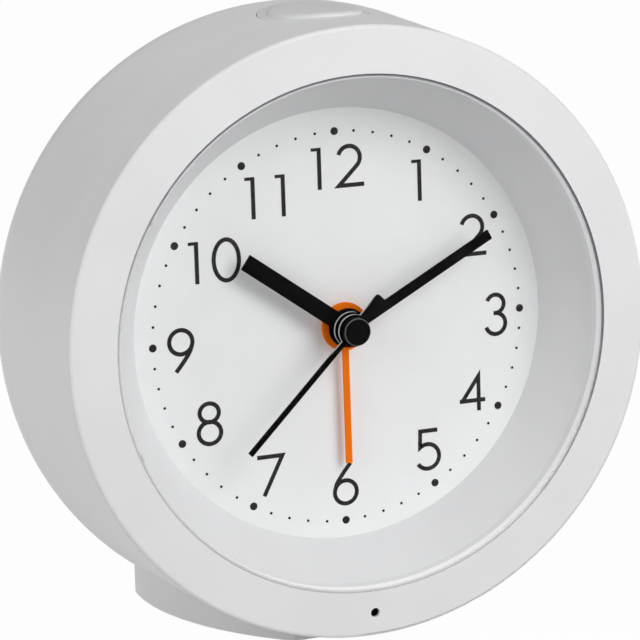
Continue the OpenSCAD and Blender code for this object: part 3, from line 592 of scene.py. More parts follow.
@dataclass(frozen=True)
class PaintedShadeRubber(Finish):
    """Rubber of the lens' seal, dark as painted shade of the gap round the lens, and paler below as painted
    light.

    Attributes:
        colour: colour above, a dark grey of painted shade.
        painted_lit: colour below, pale as painted light.
        middle: height of the change in metres.
        reach: half of the height over which it changes, in metres.
        slant: how much higher the change lies for each metre to the left.
        patch: size of the uneven patches in millimetres.
        grain: size of the grain in millimetres.
        depth: depth of the grain in millimetres.
    """

    colour: Colour
    painted_lit: Colour
    middle: float
    reach: float
    slant: float = 0.45
    patch: float = 2.0
    grain: float = 0.15
    depth: float = 0.008

    def write(self, graph: Graph) -> None:
        """Writes fine grained rubber whose colour pales towards the bottom and the left, as painted light.
        """
        x, _, z = graph.parts(graph.place())
        patchy = (graph.noise(self.patch, 3.0) - 0.5) * self.reach
        height = z + x * self.slant + patchy
        # Painted light: the seal's dark shade gives way to pale where its face is lit, low and to the left.
        below = height.ease(self.middle + self.reach, self.middle - self.reach)
        graph.surface(graph.principled({
            "Base Color": graph.tint(below, self.colour, self.painted_lit),
            "Roughness": 0.72,
            "Normal": graph.relief(graph.noise(self.grain, 1.0), self.depth),
        }))


@dataclass(frozen=True)
class CircuitBoard(Finish):
    """Circuit board under green solder mask, with copper tracks beneath it.

    Attributes:
        colour: colour of the mask.
        track: colour of the mask over copper.
        pitch: distance from track to track in millimetres.
        half_width: half width of a track, as a share of the pitch.
        blocks: how many blocks of tracks lie along a metre.
        reach: how far a block's tracks reach, as a share of its size.
        weave: size of the board's weave in millimetres.
        depth: how far the tracks stand out, in millimetres.
    """

    colour: Colour
    track: Colour
    pitch: float = 1.6
    half_width: float = 0.17
    blocks: float = 240.0
    reach: float = 0.7
    weave: float = 0.3
    depth: float = 0.02

    def write(self, graph: Graph) -> None:
        """Writes tracks that run in blocks along two directions."""
        place = graph.place()
        x, y, z = graph.parts(place)
        sockets = {"Vector": place, "Scale": self.blocks}
        block = graph.node("ShaderNodeTexVoronoi", {"distance": "MANHATTAN"}, sockets)
        turn = graph.parts(block["Color"])[0] > 0.5
        along = turn * x + (1 - turn) * (y + z)
        wave = abs((along / (self.pitch * MM)).cycle() - 0.5)
        track = (wave < self.half_width) * (block["Distance"] < self.reach)
        weave = graph.noise(self.weave, 1.0)
        graph.surface(graph.principled({
            "Base Color": graph.tint(track, self.colour, self.track),
            "Roughness": 0.3 + (weave - 0.5) * 0.15,
            "Coat Weight": 0.4,
            "Coat Roughness": 0.12,
            "Normal": graph.relief(track * 0.7 + weave * 0.3, self.depth),
        }))


@dataclass(frozen=True)
class CellJacket(Finish):
    """Plain shrunk jacket of the cell, with a band near its plus end and bare steel at both ends.

    Attributes:
        jacket: colour of the jacket.
        band: colour of the band.
        half: half length of the jacket in millimetres.
        edges: how far the band's edges lie from the jacket's plus end, in millimetres.
        steel: colour of the bare steel.
        crease: width of the jacket's creases in millimetres.
        depth: their depth in millimetres.
    """

    jacket: Colour
    band: Colour
    half: float
    edges: Point = (11.0, 0.6)
    steel: Colour = (0.6, 0.6, 0.58, 1.0)
    crease: float = 1.1
    depth: float = 0.03

    def write(self, graph: Graph) -> None:
        """Writes jacket, band and steel along the cell."""
        x = graph.parts(graph.place())[0] / MM
        steel = abs(x) > self.half
        ring = (x > self.half - self.edges[0]) * (x < self.half - self.edges[1])
        crease = graph.noise(self.crease, 2.0, graph.stretched((0.25, 1.0, 1.0)))
        printed = graph.tint(ring, self.jacket, self.band)
        graph.surface(graph.principled({
            "Base Color": graph.tint(steel, printed, self.steel),
            "Metallic": steel.most(ring * 0.6),
            "Roughness": 0.3 + (crease - 0.5) * 0.2,
            "Normal": graph.relief(crease, self.depth),
        }))


@dataclass(frozen=True)
class WoundWire(Finish):
    """Enamelled copper wire, wound turn beside turn.

    Attributes:
        colour: colour of the enamelled copper.
        wire: thickness of the wire in millimetres.
        groove_shade: share of the colour that is left between the turns, as painted shade.
        sheen: size of the patches of sheen in millimetres.
    """

    colour: Colour
    wire: float = 0.22
    groove_shade: float = 0.35
    sheen: float = 1.5

    def write(self, graph: Graph) -> None:
        """Writes rows of turns along the coil's upright axis, darker between the turns as painted shade."""
        z = graph.parts(graph.place())[2]
        offset = (z / (self.wire * MM)).cycle() * 2 - 1
        turns = (1 - offset * offset).most(0.0) ** 0.5
        sheen = graph.noise(self.sheen, 2.0)
        graph.surface(graph.principled({
            # Painted shade: the colour darkens between the turns.
            "Base Color": graph.tint(turns.ease(0.1, 0.7), shade(self.colour, self.groove_shade), self.colour),
            "Metallic": 0.85,
            "Roughness": 0.32 + (sheen - 0.5) * 0.15,
            "Normal": graph.relief(turns, self.wire / 2),
        }))


class Workpiece:
    """A new piece on the bench: a primitive or a duplicate that operators shape."""

    def __init__(self, name: str, add: Callable[[], object]) -> None:
        """Adds the piece on its own.

        Args:
            name: the piece's name.
            add: adds the primitive, or a duplicate, at its size and place.
        """
        self.rest()
        add()
        self.obj = bpy.context.object
        self.label(name)
        bpy.ops.object.transform_apply(location=True, rotation=True, scale=True)

    def label(self, name: str) -> None:
        """Names the object and its mesh."""
        self.obj.name = name
        self.obj.data.name = name

    @staticmethod
    def rest() -> None:
        """Goes back to object mode with nothing selected."""
        if bpy.context.mode != "OBJECT":
            bpy.ops.object.mode_set(mode="OBJECT")
        bpy.ops.object.select_all(action="DESELECT")

    def take(self) -> None:
        """Selects this piece alone."""
        self.rest()
        self.obj.select_set(True)
        bpy.context.view_layer.objects.active = self.obj

    def edit(self, picks: Picks = Picks.POINTS) -> None:
        """Opens edit mode with all selected.

        Args:
            picks: what is selected.
        """
        self.take()
        bpy.ops.object.mode_set(mode="EDIT")
        bpy.ops.mesh.select_mode(type=picks.value)
        bpy.ops.mesh.select_all(action="SELECT")

    def move(self, shift: Vector) -> None:
        """Moves the piece's mesh by a shift in metres."""
        self.edit()
        bpy.ops.transform.translate(value=shift)
        self.rest()

    def modify(self, kind: str, **settings: object) -> None:
        """Adds a modifier and applies it.

        Args:
            kind: the modifier's type.
            settings: its properties.
        """
        self.take()
        modifier = self.obj.modifiers.new(kind.lower(), kind)
        for name, value in settings.items():
            setattr(modifier, name, value)
        bpy.ops.object.modifier_apply(modifier=modifier.name)

    def close(self, smooth_deg: float) -> None:
        """Merges doubles, turns the faces outwards and smooths them.

        Args:
            smooth_deg: the sharpest angle that is shown smooth.
        """
        self.edit()
        bpy.ops.mesh.remove_doubles(threshold=DOUBLE)
        bpy.ops.mesh.normals_make_consistent(inside=False)
        self.take()
        bpy.ops.object.shade_smooth_by_angle(angle=math.radians(smooth_deg))

    def duplicate(self) -> None:
        """Duplicates the piece and its mesh, and leaves the duplicate active."""
        self.take()
        bpy.ops.object.duplicate(linked=False)

    def copied(self, shift: Vector) -> "Workpiece":
        """Copies the piece, mesh included.

        Args:
            shift: the way from the piece to its copy, in metres.

        Returns:
            The copy.
        """
        copy = Workpiece(self.obj.name, self.duplicate)
        copy.move(shift)
        return copy

    def joined(self, others: Sequence["Workpiece"]) -> "Workpiece":
        """Joins other pieces onto this one.

        Args:
            others: the pieces that go into this one.

        Returns:
            This piece.
        """
        self.rest()
        for piece in others:
            piece.obj.select_set(True)
        self.obj.select_set(True)
        bpy.context.view_layer.objects.active = self.obj
        bpy.ops.object.join()
        return self

    def dress(self, body: str, slot: str, finish: Finish) -> bpy.types.Object:
        """Gives the piece its finish and the body that it moves with.

        Args:
            body: the body's name.
            slot: the record's material slot; not used.
            finish: the finish.

        Returns:
            The finished object.
        """
        self.rest()
        self.obj.data.materials.clear()
        self.obj.data.materials.append(finish.material())
        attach(self.obj, body)
        LOG.info("%s: %d faces on %s", self.obj.name, len(self.obj.data.polygons), body)
        return self.obj


class Pen(Workpiece):
    """A pen that draws a path point after point, with its arcs across Y."""

    def __init__(self, name: str, start: Vector) -> None:
        """Puts the pen down.

        Args:
            name: the piece's name.
            start: where the path begins, in metres.
        """
        super().__init__(name, lambda: bpy.ops.mesh.primitive_plane_add(size=NIB, location=start))
        self.spot = start.copy()
        self.edit()
        bpy.ops.mesh.merge(type="CENTER")

    def line(self, goal: Vector) -> None:
        """Draws straight to a point."""
        bpy.ops.mesh.extrude_region_move(TRANSFORM_OT_translate={"value": goal - self.spot})
        self.spot = goal.copy()

    def arc(self, centre: Vector, sweep: float, step: float) -> None:
        """Draws round a centre.

        Args:
            centre: the arc's centre.
            sweep: its angle in degrees, clockwise as seen from the front.
            step: angle of one of its sides.
        """
        angle = math.radians(sweep)
        sides = max(2, round(abs(sweep) / step))
        bpy.ops.mesh.spin(steps=sides, angle=-angle, center=centre, axis=Axis.DEPTH.value)
        self.spot = centre + Matrix.Rotation(angle, 3, "Y") @ (self.spot - centre)

    def turn(self, through: Vector, axis: Axis, sides: int) -> None:
        """Turns the path into a round body.

        Args:
            through: a point on the axis.
            axis: the axis' direction.
            sides: how many sides the body has.
        """
        bpy.ops.mesh.select_all(action="SELECT")
        bpy.ops.mesh.spin(steps=sides, angle=math.tau, center=through, axis=axis.value)


@dataclass(frozen=True)
class Line:
    """A straight move of the pen.

    Attributes:
        to: where it ends, in millimetres right of and above the hands' axis.
    """

    to: Point


@dataclass(frozen=True)
class Arc:
    """A round move of the pen.

    Attributes:
        centre: centre of the arc.
        sweep: angle in degrees, clockwise as the dial is seen.
    """

    centre: Point
    sweep: float


@dataclass(frozen=True)
class Stroke:
    """One stroke of a numeral or a sign, with square ends and mitred corners.

    Attributes:
        start: where the pen is put down.
        moves: what it does then.
        width: width of the stroke in millimetres.
    """

    start: Point
    moves: tuple[Line | Arc, ...]
    width: float = 0.64


@dataclass(frozen=True)
class Oval:
    """A closed round stroke.

    Attributes:
        centre: its centre.
        half: half its width and half its height, at the middle of the stroke.
        width: width of the stroke in millimetres.
    """

    centre: Point
    half: Point
    width: float = 0.64


@dataclass(frozen=True)
class Numeral:
    """A numeral and the places where the dial has it.

    Attributes:
        name: the numeral's name.
        strokes: its strokes.
        places: shifts from where the strokes are drawn to where they stand.
    """

    name: str
    strokes: tuple[Stroke | Oval, ...]
    places: tuple[Point, ...] = ((0.0, 0.0),)


def around(centre: Point, radius: float, angle_deg: float) -> Point:
    """Gives a point on a circle, its angle counted anticlockwise from the right."""
    angle = math.radians(angle_deg)
    return centre[0] + radius * math.cos(angle), centre[1] + radius * math.sin(angle)


NUMERALS = (
    Numeral("one", (
        Stroke((0.0, 0.0), (Line((0.0, 6.18)),)),
        Stroke((-1.24, 5.94), (Line((0.0, 5.94)),), 0.48),
    ), ((-2.53, 20.27), (-22.0, 8.2), (-12.97, 16.87), (-8.28, 16.87), (13.32, 17.24))),
    Numeral("two", (
        Stroke(around((0.0, 0.0), 1.72, 163.0), (
            Arc((0.0, 0.0), 209.5), Line((-1.7, -4.04)), Line((2.3, -4.04)),
        )),
    ), ((2.2, 24.62), (21.62, 12.52))),
    Numeral("three", (
        Stroke(around((25.19, 0.53), 1.4, 158.0), (Arc((25.19, 0.53), 248.0), Line((24.88, -0.87)))),
        Stroke((24.88, -0.88), (Line((25.19, -0.88)), Arc((25.19, -2.48), 254.0))),
    )),
    Numeral("four", (
        Stroke((22.13, -15.5), (Line((22.13, -10.2)), Line((19.43, -13.87)))),
        Stroke((19.0, -13.87), (Line((23.2, -13.87)),)),
    )),
    Numeral("five", (
        Stroke((15.2, -17.65), (Line((12.38, -17.65)), Line((12.3, -20.15)), Arc((13.5, -21.6), 276.0))),
    )),
    Numeral("six", (
        Oval((0.1, -25.42), (1.76, 1.76)),
        Stroke((-1.58, -24.87), (
            Line((-1.35, -24.12)), Line((-0.9, -23.37)), Line((-0.1, -22.32)), Line((0.98, -21.04)),
        )),
    )),
    Numeral("seven", (
        Stroke((-13.78, -18.6), (Line((-9.8, -18.6)), Line((-12.85, -24.5)))),
    )),
    Numeral("eight", (
        Oval((-20.97, -10.96), (1.49, 1.4)),
        Oval((-20.97, -13.95), (1.74, 1.65)),
    )),
    Numeral("nine", (
        Oval((-24.9, -0.05), (1.78, 1.78)),
        Stroke((-23.22, -0.6), (
            Line((-23.45, -1.35)), Line((-23.9, -2.1)), Line((-24.7, -3.15)), Line((-25.78, -4.43)),
        )),
    )),
    Numeral("zero", (Oval((-17.43, 11.33), (1.95, 3.0)),)),
)


@dataclass
class FacePrint:
    """Strokes of ink on a flat face across Y.

    Attributes:
        middle: where the hands' axis meets the face, in metres.
        ink: thickness of the print in millimetres.
        arc_step: angle of one side of a round stroke, in degrees.
        oval_sides: how many sides a closed round stroke has.
        smooth: the sharpest angle of the print that is shown smooth, in degrees.
        outward: the side that the face looks to.
    """

    middle: Vector
    ink: float = 0.02
    arc_step: float = 7.5
    oval_sides: int = 64
    smooth: float = 20.0
    outward: Outward = Outward.FRONT

    def at(self, point: Point) -> Vector:
        """Gives a place on the face in metres."""
        return self.middle + across(point)

    def off(self, height: float) -> Vector:
        """Gives the shift in metres that lies a height in millimetres off the face."""
        return Vector((0.0, self.outward.value * height * MM, 0.0))

    def inked(self, path: Workpiece, width: float, ink: float) -> Workpiece:
        """Makes a path a thin solid.

        Args:
            path: the path, in edit mode with all selected.
            width: width of the stroke in millimetres.
            ink: thickness of its ink in millimetres.

        Returns:
            The path as a thin solid.
        """
        bpy.ops.mesh.extrude_region_move(TRANSFORM_OT_translate={"value": self.off(ink)})
        path.modify("SOLIDIFY", thickness=width * MM, offset=0.0, use_even_offset=True)
        return path

    def draw(self, stroke: Stroke, name: str, ink: float) -> Workpiece:
        """Draws one stroke.

        Args:
            stroke: the stroke.
            name: the name of its piece.
            ink: thickness of its ink in millimetres.

        Returns:
            The stroke as a thin solid.
        """
        pen = Pen(name, self.at(stroke.start))
        for move in stroke.moves:
            if isinstance(move, Line):
                pen.line(self.at(move.to))
            else:
                pen.arc(self.at(move.centre), move.sweep, self.arc_step)
        bpy.ops.mesh.select_all(action="SELECT")
        return self.inked(pen, stroke.width, ink)

    def loop(self, oval: Oval, name: str, ink: float) -> Workpiece:
        """Draws one closed round stroke.

        Args:
            oval: the stroke.
            name: the name of its piece.
            ink: thickness of its ink in millimetres.

        Returns:
            The stroke as a thin solid.
        """
        spot = self.at(oval.centre)
        loop = Workpiece(name, lambda: bpy.ops.mesh.primitive_circle_add(
            vertices=self.oval_sides, radius=MM, location=spot, rotation=UPRIGHT))
        loop.edit()
        bpy.ops.transform.resize(value=(oval.half[0], 1.0, oval.half[1]), center_override=spot)
        return self.inked(loop, oval.width, ink)


@dataclass
class DialPrint(FacePrint):
    """The dial's printed numerals and dots.

    Attributes:
        layer: how much thicker the ink is where a numeral's next stroke lies over the first.
        ring: radius of the circle of dots in millimetres.
        numeral_shift: how far the numerals are printed off their drawing.
        dot_centre: centre of the circle of dots.
        hour_dot: diameter of an hour's dot.
        minute_dot: diameter of a minute's dot.
        minutes: how many dots go round.
        hour_every: how many dots it is from hour to hour.
        dot_sides: how many sides a dot has.
        dot_slope: width of a dot's sloping edge, as a share of its diameter.
        dot_rise: height of that slope, as a share of the ink.
    """

    layer: float = 0.004
    ring: float = 29.2
    numeral_shift: Point = (-0.14, 0.07)
    dot_centre: Point = (-0.14, -0.43)
    hour_dot: float = 1.18
    minute_dot: float = 0.42
    minutes: int = 60
    hour_every: int = 5
    dot_sides: int = 20
    dot_slope: float = 0.14
    dot_rise: float = 0.5

    def numerals(self) -> Workpiece:
        """Draws all numerals as one piece."""
        drawn = []
        for numeral in NUMERALS:
            strokes = []
            for layer, part in enumerate(numeral.strokes):
                make = self.draw if isinstance(part, Stroke) else self.loop
                strokes.append(make(part, numeral.name, self.ink + layer * self.layer))
            glyph = strokes[0].joined(strokes[1:]) if len(strokes) > 1 else strokes[0]
            first, *more = numeral.places
            drawn += [glyph.copied(across(place)) for place in more]
            glyph.move(across(first))
            drawn.append(glyph)
        piece = drawn[-1].joined(drawn[:-1])
        piece.label("dial_numerals")
        piece.close(self.smooth)
        piece.move(across(self.numeral_shift))
        return piece

    def dot(self, diameter: float, name: str) -> Workpiece:
        """Models one dot at the top of the dial: a drop of ink with a raised middle.

        Args:
            diameter: the dot's diameter in millimetres.
            name: the name of its piece.

        Returns:
            The dot.
        """
        spot = self.at((self.dot_centre[0], self.dot_centre[1] + self.ring))
        disc = Workpiece(name, lambda: bpy.ops.mesh.primitive_circle_add(
            vertices=self.dot_sides, radius=diameter / 2 * MM, fill_type="NGON", location=spot,
            rotation=UPRIGHT))
        disc.edit(Picks.FACES)
        bpy.ops.mesh.extrude_region_move(TRANSFORM_OT_translate={"value": self.off(self.ink)})
        bpy.ops.mesh.inset(thickness=diameter * self.dot_slope * MM, depth=0.0)
        bpy.ops.transform.translate(value=self.off(self.ink * self.dot_rise))
        disc.rest()
        return disc

    def from_top(self, minute: int) -> Vector:
        """Gives the way from the top dot to a minute's dot, in metres."""
        turn = math.tau * minute / self.minutes
        return across((self.ring * math.sin(turn), self.ring * (math.cos(turn) - 1)))

    def dots(self) -> Workpiece:
        """Models the circle of dots as one piece."""
        hour = self.dot(self.hour_dot, "dial_dots")
        minute = self.dot(self.minute_dot, "minute_dot")
        made = [minute]
        for step in range(2, self.minutes):
            kind = minute if step % self.hour_every else hour
            made.append(kind.copied(self.from_top(step)))
        minute.move(self.from_top(1))
        hour.joined(made)
        hour.close(self.smooth)
        return hour

    def build(self, ink: Finish) -> None:
        """Builds and dresses the print.

        Args:
            ink: the ink's finish.
        """
        self.numerals().dress("case", "hand_black", ink)
        self.dots().dress("case", "hand_black", ink)


@dataclass
class CoverPrint(FacePrint):
    """Signs on the rear cover: an arrow over each knob, a dial and a bell.

    Attributes:
        time_knob: the knob that sets the time, in millimetres right of and above the hands' axis.
        alarm_knob: the knob that sets the alarm.
        reach: radius of the arrows.
        sweep: angle of the arrows in degrees.
        barb: how far the barbs stand off.
        slant: angle from the tip to the barbs' ends in degrees.
        beside: how far the signs stand from the knobs.
        width: width of the strokes.
        layer: how many times thicker the ink is where a stroke lies over another.
        rim: radius of the dial, and half the bell's brim.
        hands: lengths of the dial's upright and level hand.
        dome: radius of the bell's dome.
        mouth: half width of the bell's mouth.
        clapper: half width of the bell's clapper.
        bell_levels: heights of the dome's middle, the waist, the mouth and the clapper.
    """

    outward: Outward = Outward.BACK
    time_knob: Point = (0.0, 0.0)
    alarm_knob: Point = (0.0, 0.0)
    reach: float = 7.4
    sweep: float = 100.0
    barb: float = 0.9
    slant: float = 9.0
    beside: float = 11.5
    width: float = 0.46
    layer: float = 1.2
    rim: float = 2.1
    hands: Point = (1.35, 0.95)
    dome: float = 1.2
    mouth: float = 1.75
    clapper: float = 0.5
    bell_levels: tuple[float, float, float, float] = (0.7, -0.6, -1.2, -1.95)

    def arrow(self, knob: Point) -> list[Workpiece]:
        """Draws the arrow over a knob, to the left as the cover is seen.

        Args:
            knob: the knob's axis.

        Returns:
            Shaft and head.
        """
        begin, end = 90 + self.sweep / 2, 90 - self.sweep / 2
        shaft = Stroke(around(knob, self.reach, begin), (Arc(knob, self.sweep),), self.width)
        outer, inner = (
            around(knob, self.reach + off, end + self.slant) for off in (self.barb, -self.barb))
        head = Stroke(outer, (Line(around(knob, self.reach, end)), Line(inner)), self.width)
        return [
            self.draw(shaft, "arrow_shaft", self.ink),
            self.draw(head, "arrow_head", self.ink * self.layer),
        ]

    def dial_sign(self, spot: Point) -> list[Workpiece]:
        """Draws a small dial with two hands."""
        x, z = spot
        upright, level = self.hands
        hands = Stroke((x, z + upright), (Line(spot), Line((x - level, z))), self.width)
        return [
            self.loop(Oval(spot, (self.rim, self.rim), self.width), "sign_rim", self.ink),
            self.draw(hands, "sign_hands", self.ink),
        ]

    def bell_sign(self, spot: Point) -> list[Workpiece]:
        """Draws a small bell with its clapper."""
        x = spot[0]
        top, waist, mouth, low = (spot[1] + level for level in self.bell_levels)
        dome = Stroke((x - self.mouth, mouth), (
            Line((x - self.dome, waist)), Line((x - self.dome, top)), Arc((x, top), 180.0),
            Line((x + self.dome, waist)), Line((x + self.mouth, mouth)),
        ), self.width)
        brim = Stroke((x - self.rim, mouth), (Line((x + self.rim, mouth)),), self.width)
        clapper = Stroke((x - self.clapper, low), (Line((x + self.clapper, low)),), self.width)
        return [
            self.draw(dome, "bell_dome", self.ink),
            self.draw(brim, "bell_brim", self.ink * self.layer),
            self.draw(clapper, "bell_clapper", self.ink),
        ]

    def build(self, ink: Finish) -> None:
        """Builds and dresses the signs as one piece.

        Args:
            ink: the ink's finish.
        """
        (time_x, time_z), (alarm_x, alarm_z) = self.time_knob, self.alarm_knob
        signs = self.arrow(self.time_knob) + self.arrow(self.alarm_knob)
        signs += self.dial_sign((time_x + math.copysign(self.beside, time_x), time_z))
        signs += self.bell_sign((alarm_x + math.copysign(self.beside, alarm_x), alarm_z))
        piece = signs[0].joined(signs[1:])
        piece.label("cover_signs")
        piece.close(self.smooth)
        piece.dress("case", "hand_black", ink)


@dataclass
class SnoozeCap:
    """The snooze button: stem, lip and a flush cap with a raised pad, both following the drum.

    Attributes:
        axis_height: height of the drum's axis in metres.
        front: place of the drum's front rim along Y, in metres.
        centre: distance of the button behind the front rim, in millimetres.
        radius: radius of the cap.
        lip_radius: radius of the lip under the housing.
        stem_radius: radius of the stem.
        levels: heights of the stem's end, the lip's underside and the lip's top, in millimetres.
        edge: rounding of the cap's edge.
        edge_step: angle of one side of that rounding, in degrees.
        proud: height of the cap's rim over the drum.
        pad_radius: radius of the pad.
        pad_shift: how far the pad lies before the cap's middle.
        pad_edge: width and height of the pad's rounded edge.
        pad_steps: how many sides that edge has.
        pad_rings: how many rings of faces the pad's top has.
        drum_radius: radius of the drum at its front rim.
        draft: angle of the drum's side in degrees.
        sides: how many sides the button has.
        smooth: the sharpest angle that is shown smooth, in degrees.
        slack: how close to an edge a point counts as on it.
    """

    axis_height: float
    front: float
    centre: float = 17.0
    radius: float = 8.18
    lip_radius: float = 8.9
    stem_radius: float = 2.0
    levels: tuple[float, float, float] = (86.284, 88.284, 89.284)
    edge: float = 0.12
    edge_step: float = 22.5
    proud: float = 0.05
    pad_radius: float = 7.0
    pad_shift: float = 0.8
    pad_edge: Point = (0.95, 0.5)
    pad_steps: int = 8
    pad_rings: int = 5
    drum_radius: float = 45.0
    draft: float = 2.88
    sides: int = 128
    smooth: float = 50.0
    slack: float = 0.01

    def top(self, x: float, y: float) -> float:
        """Gives the height of the cap's top over a point, all in metres."""
        drum = self.drum_radius * MM + (y - self.front) * math.tan(math.radians(self.draft))
        return self.axis_height + self.proud * MM + math.sqrt(drum * drum - x * x)

    def build(self, finish: Finish) -> None:
        """Builds and dresses the button.

        Args:
            finish: the button's finish.
        """
        middle = self.front + self.centre * MM
        flat = self.top(0.0, middle) / MM
        low, under, lip = self.levels
        pen = Pen("snooze_cap", Vector((0.0, middle, low * MM)))
        for radius, height in (
            (self.stem_radius, low), (self.stem_radius, under), (self.lip_radius, under),
            (self.lip_radius, lip), (self.radius, lip), (self.radius, flat - self.edge),
        ):
            pen.line(Vector((radius * MM, middle, height * MM)))
        corner = Vector(((self.radius - self.edge) * MM, middle, (flat - self.edge) * MM))
        pen.arc(corner, -90.0, self.edge_step)
        width, rise = self.pad_edge
        for step in range(self.pad_steps + 1):
            lift = math.pi / 2 * step / self.pad_steps
            inner = self.pad_radius - width * (1 - math.cos(lift))
            pen.line(Vector((inner * MM, middle, (flat + rise * math.sin(lift)) * MM)))
        for ring in reversed(range(self.pad_rings)):
            inner = (self.pad_radius - width) * ring / self.pad_rings
            pen.line(Vector((inner * MM, middle, (flat + rise) * MM)))
        pen.turn(Vector((0.0, middle, 0.0)), Axis.HEIGHT, self.sides)
        pen.close(self.smooth)
        for vertex in pen.obj.data.vertices:
            if vertex.co.z < (flat - self.edge - self.slack) * MM:
                continue
            if math.hypot(vertex.co.x, vertex.co.y - middle) < (self.pad_radius + self.slack) * MM:
                vertex.co.y -= self.pad_shift * MM
            vertex.co.z += self.top(vertex.co.x, vertex.co.y) - flat * MM
        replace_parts(pen.dress("snooze", "button_white", finish), "snooze_button")


def turned(name: str, middle: Vector, profile: Sequence[Point], sides: int, smooth_deg: float) -> Pen:
    """Turns a profile about an axis along Y.

    Args:
        name: the piece's name.
        middle: the point on the axis that depths are counted from, in metres.
        profile: radii and depths in millimetres.
        sides: how many sides the piece has.
        smooth_deg: the sharpest angle that is shown smooth.

    Returns:
        The turned piece.
    """
    points = [middle + Vector((radius * MM, depth * MM, 0.0)) for radius, depth in profile]
    pen = Pen(name, points[0])
    for point in points[1:]:
        pen.line(point)
    pen.turn(middle, Axis.DEPTH, sides)
    pen.close(smooth_deg)
    return pen


@dataclass
class LensFitting:
    """The lens with a dark seal that stands in for the shade of the gap round it, the lip on the dial ring
    that it sits on, and the slope's end below.

    Attributes:
        rim: middle of the drum's front rim, in metres.
        front: depth of the lens' front behind the rim, in millimetres; less than 0 is before it.
        back: depth of the lens' back.
        radius: radius of the lens.
        polish: width of its chamfer.
        bore: radius of the housing's bore.
        seal: depths of the seal's inner and outer edge behind the rim.
        pocket: radius of the housing's pocket behind the bore.
        slope: radius and depth of the slope's top on the dial ring.
        lip: radius and depth where the slope ends and the lip begins.
        play: gap between the lens and its lip.
        fit: gap between the seal and the lens, and between the lip and the slope's end.
        fade: half the height over which the seal fades, as a share of the lens' radius.
        sides: how many sides the pieces have.
        smooth: the sharpest angle that is shown smooth, in degrees.
    """

    rim: Vector
    front: float = -0.55
    back: float = 0.4
    radius: float = 37.8
    polish: float = 0.24
    bore: float = 38.09
    seal: Point = (-0.62, -0.28)
    pocket: float = 39.4
    slope: Point = (37.27, 2.2)
    lip: Point = (37.52, 1.25)
    play: float = 0.04
    fit: float = 0.01
    fade: float = 0.6
    sides: int = 192
    smooth: float = 20.0

    def pane(self) -> Pen:
        """Makes the lens."""
        return turned("lens_pane", self.rim, (
            (0.0, self.front), (self.radius - self.polish, self.front),
            (self.radius, self.front + self.polish), (self.radius, self.back), (0.0, self.back),
        ), self.sides, self.smooth)

    def gap_shade_ring(self) -> Pen:
        """Makes the seal, a ring of painted shade whose slanted face falls away to the housing."""
        inner = self.radius + self.fit
        high, low = self.seal
        return turned("lens_seal", self.rim, (
            (inner, high), (self.bore, low), (self.bore, self.back), (inner, self.back), (inner, high),
        ), self.sides, self.smooth)

    def seat(self) -> Pen:
        """Makes the lip that carries the lens."""
        top = self.back + self.play
        return turned("lens_seat", self.rim, (
            self.lip, (self.radius, top), (self.pocket, top), (self.pocket, self.lip[1]), self.lip,
        ), self.sides, self.smooth)

    def slope_end(self) -> Pen:
        """Makes the end of the slope under the lip."""
        low = self.lip[1] + self.fit
        return turned("slope_end", self.rim, (
            self.slope, (self.lip[0], low), (self.pocket, low), (self.pocket, self.slope[1]), self.slope,
        ), self.sides, self.smooth)

    def build(self, by_slot: dict[str, Finish]) -> None:
        """Builds and dresses the fitting.

        Args:
            by_slot: finishes by slot.
        """
        reach = self.radius * MM * self.fade
        # Painted shade and light: the seal is dark grey for the shade in the gap, and pale below where it
        # is lit.
        seal = PaintedShadeRubber("seal_rubber", (0.235, 0.24, 0.27, 1.0), grey(0.84), self.rim.z, reach)
        # Painted highlight: the lip's plastic is whiter than the case's, for the bright band of light along
        # the lens' edge.
        white = MouldedPlastic("seat_plastic", (0.97, 0.973, 0.98, 1.0))
        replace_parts(self.pane().dress("case", "lens_clear", by_slot["lens_clear"]), "lens")
        self.gap_shade_ring().dress("case", "pad_rubber", seal)
        self.seat().dress("case", "case_white", white)
        self.slope_end().dress("case", "ring_white", by_slot["ring_white"])


@dataclass
class SensorWindow:
    """The dark window of the light sensor, a little way inside its hole.

    Attributes:
        middle: where the sensor's axis meets the plane of the front rim, in metres.
        radius: radius of the window in millimetres.
        crown: depth of its middle behind the rim.
        edge: depth of its edge.
        back: depth of its back, against the sensor.
        sides: how many sides it has.
        smooth: the sharpest angle that is shown smooth, in degrees.
    """

    middle: Vector
    radius: float = 0.67
    crown: float = 0.1
    edge: float = 0.25
    back: float = 2.18
    sides: int = 48
    smooth: float = 40.0

    def build(self, finish: Finish) -> None:
        """Builds and dresses the window.

        Args:
            finish: the window's finish.
        """
        # Half way out, a round crown has fallen by a quarter
        shoulder = (self.radius / 2, self.crown + (self.edge - self.crown) / 4)
        pen = turned("sensor_window", self.middle, (
            (0.0, self.crown), shoulder, (self.radius, self.edge),
            (self.radius, self.back), (0.0, self.back),
        ), self.sides, self.smooth)
        pen.dress("case", "dark_plastic", finish)


@dataclass
class HandCap:
    """The cap over the hands' stack, with a chamfered edge.

    Attributes:
        front: middle of the cap's front, in metres.
        length: length of the cap in metres.
        radius: radius of the cap in millimetres.
        chamfer: width of its chamfer.
        dish: depth of the shallow dish in its front.
        dish_ends: radii of the dish's floor and rim, as shares of the front's.
        sides: how many sides it has.
        smooth: the sharpest angle that is shown smooth, in degrees.
    """

    front: Vector
    length: float
    radius: float = 2.06
    chamfer: float = 0.14
    dish: float = 0.03
    dish_ends: Point = (0.6, 0.85)
    sides: int = 96
    smooth: float = 30.0

    def build(self, finish: Finish) -> None:
        """Builds and dresses the cap.

        Args:
            finish: the cap's finish.
        """
        back = self.length / MM
        face = self.radius - self.chamfer
        floor, rim = (face * share for share in self.dish_ends)
        pen = turned("hand_cap", self.front, (
            (0.0, self.dish), (floor, self.dish), (rim, 0.0), (face, 0.0), (self.radius, self.chamfer),
            (self.radius, back), (0.0, back),
        ), self.sides, self.smooth)
        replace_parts(pen.dress("seconds", "hand_black", finish), "second_hand_cap")


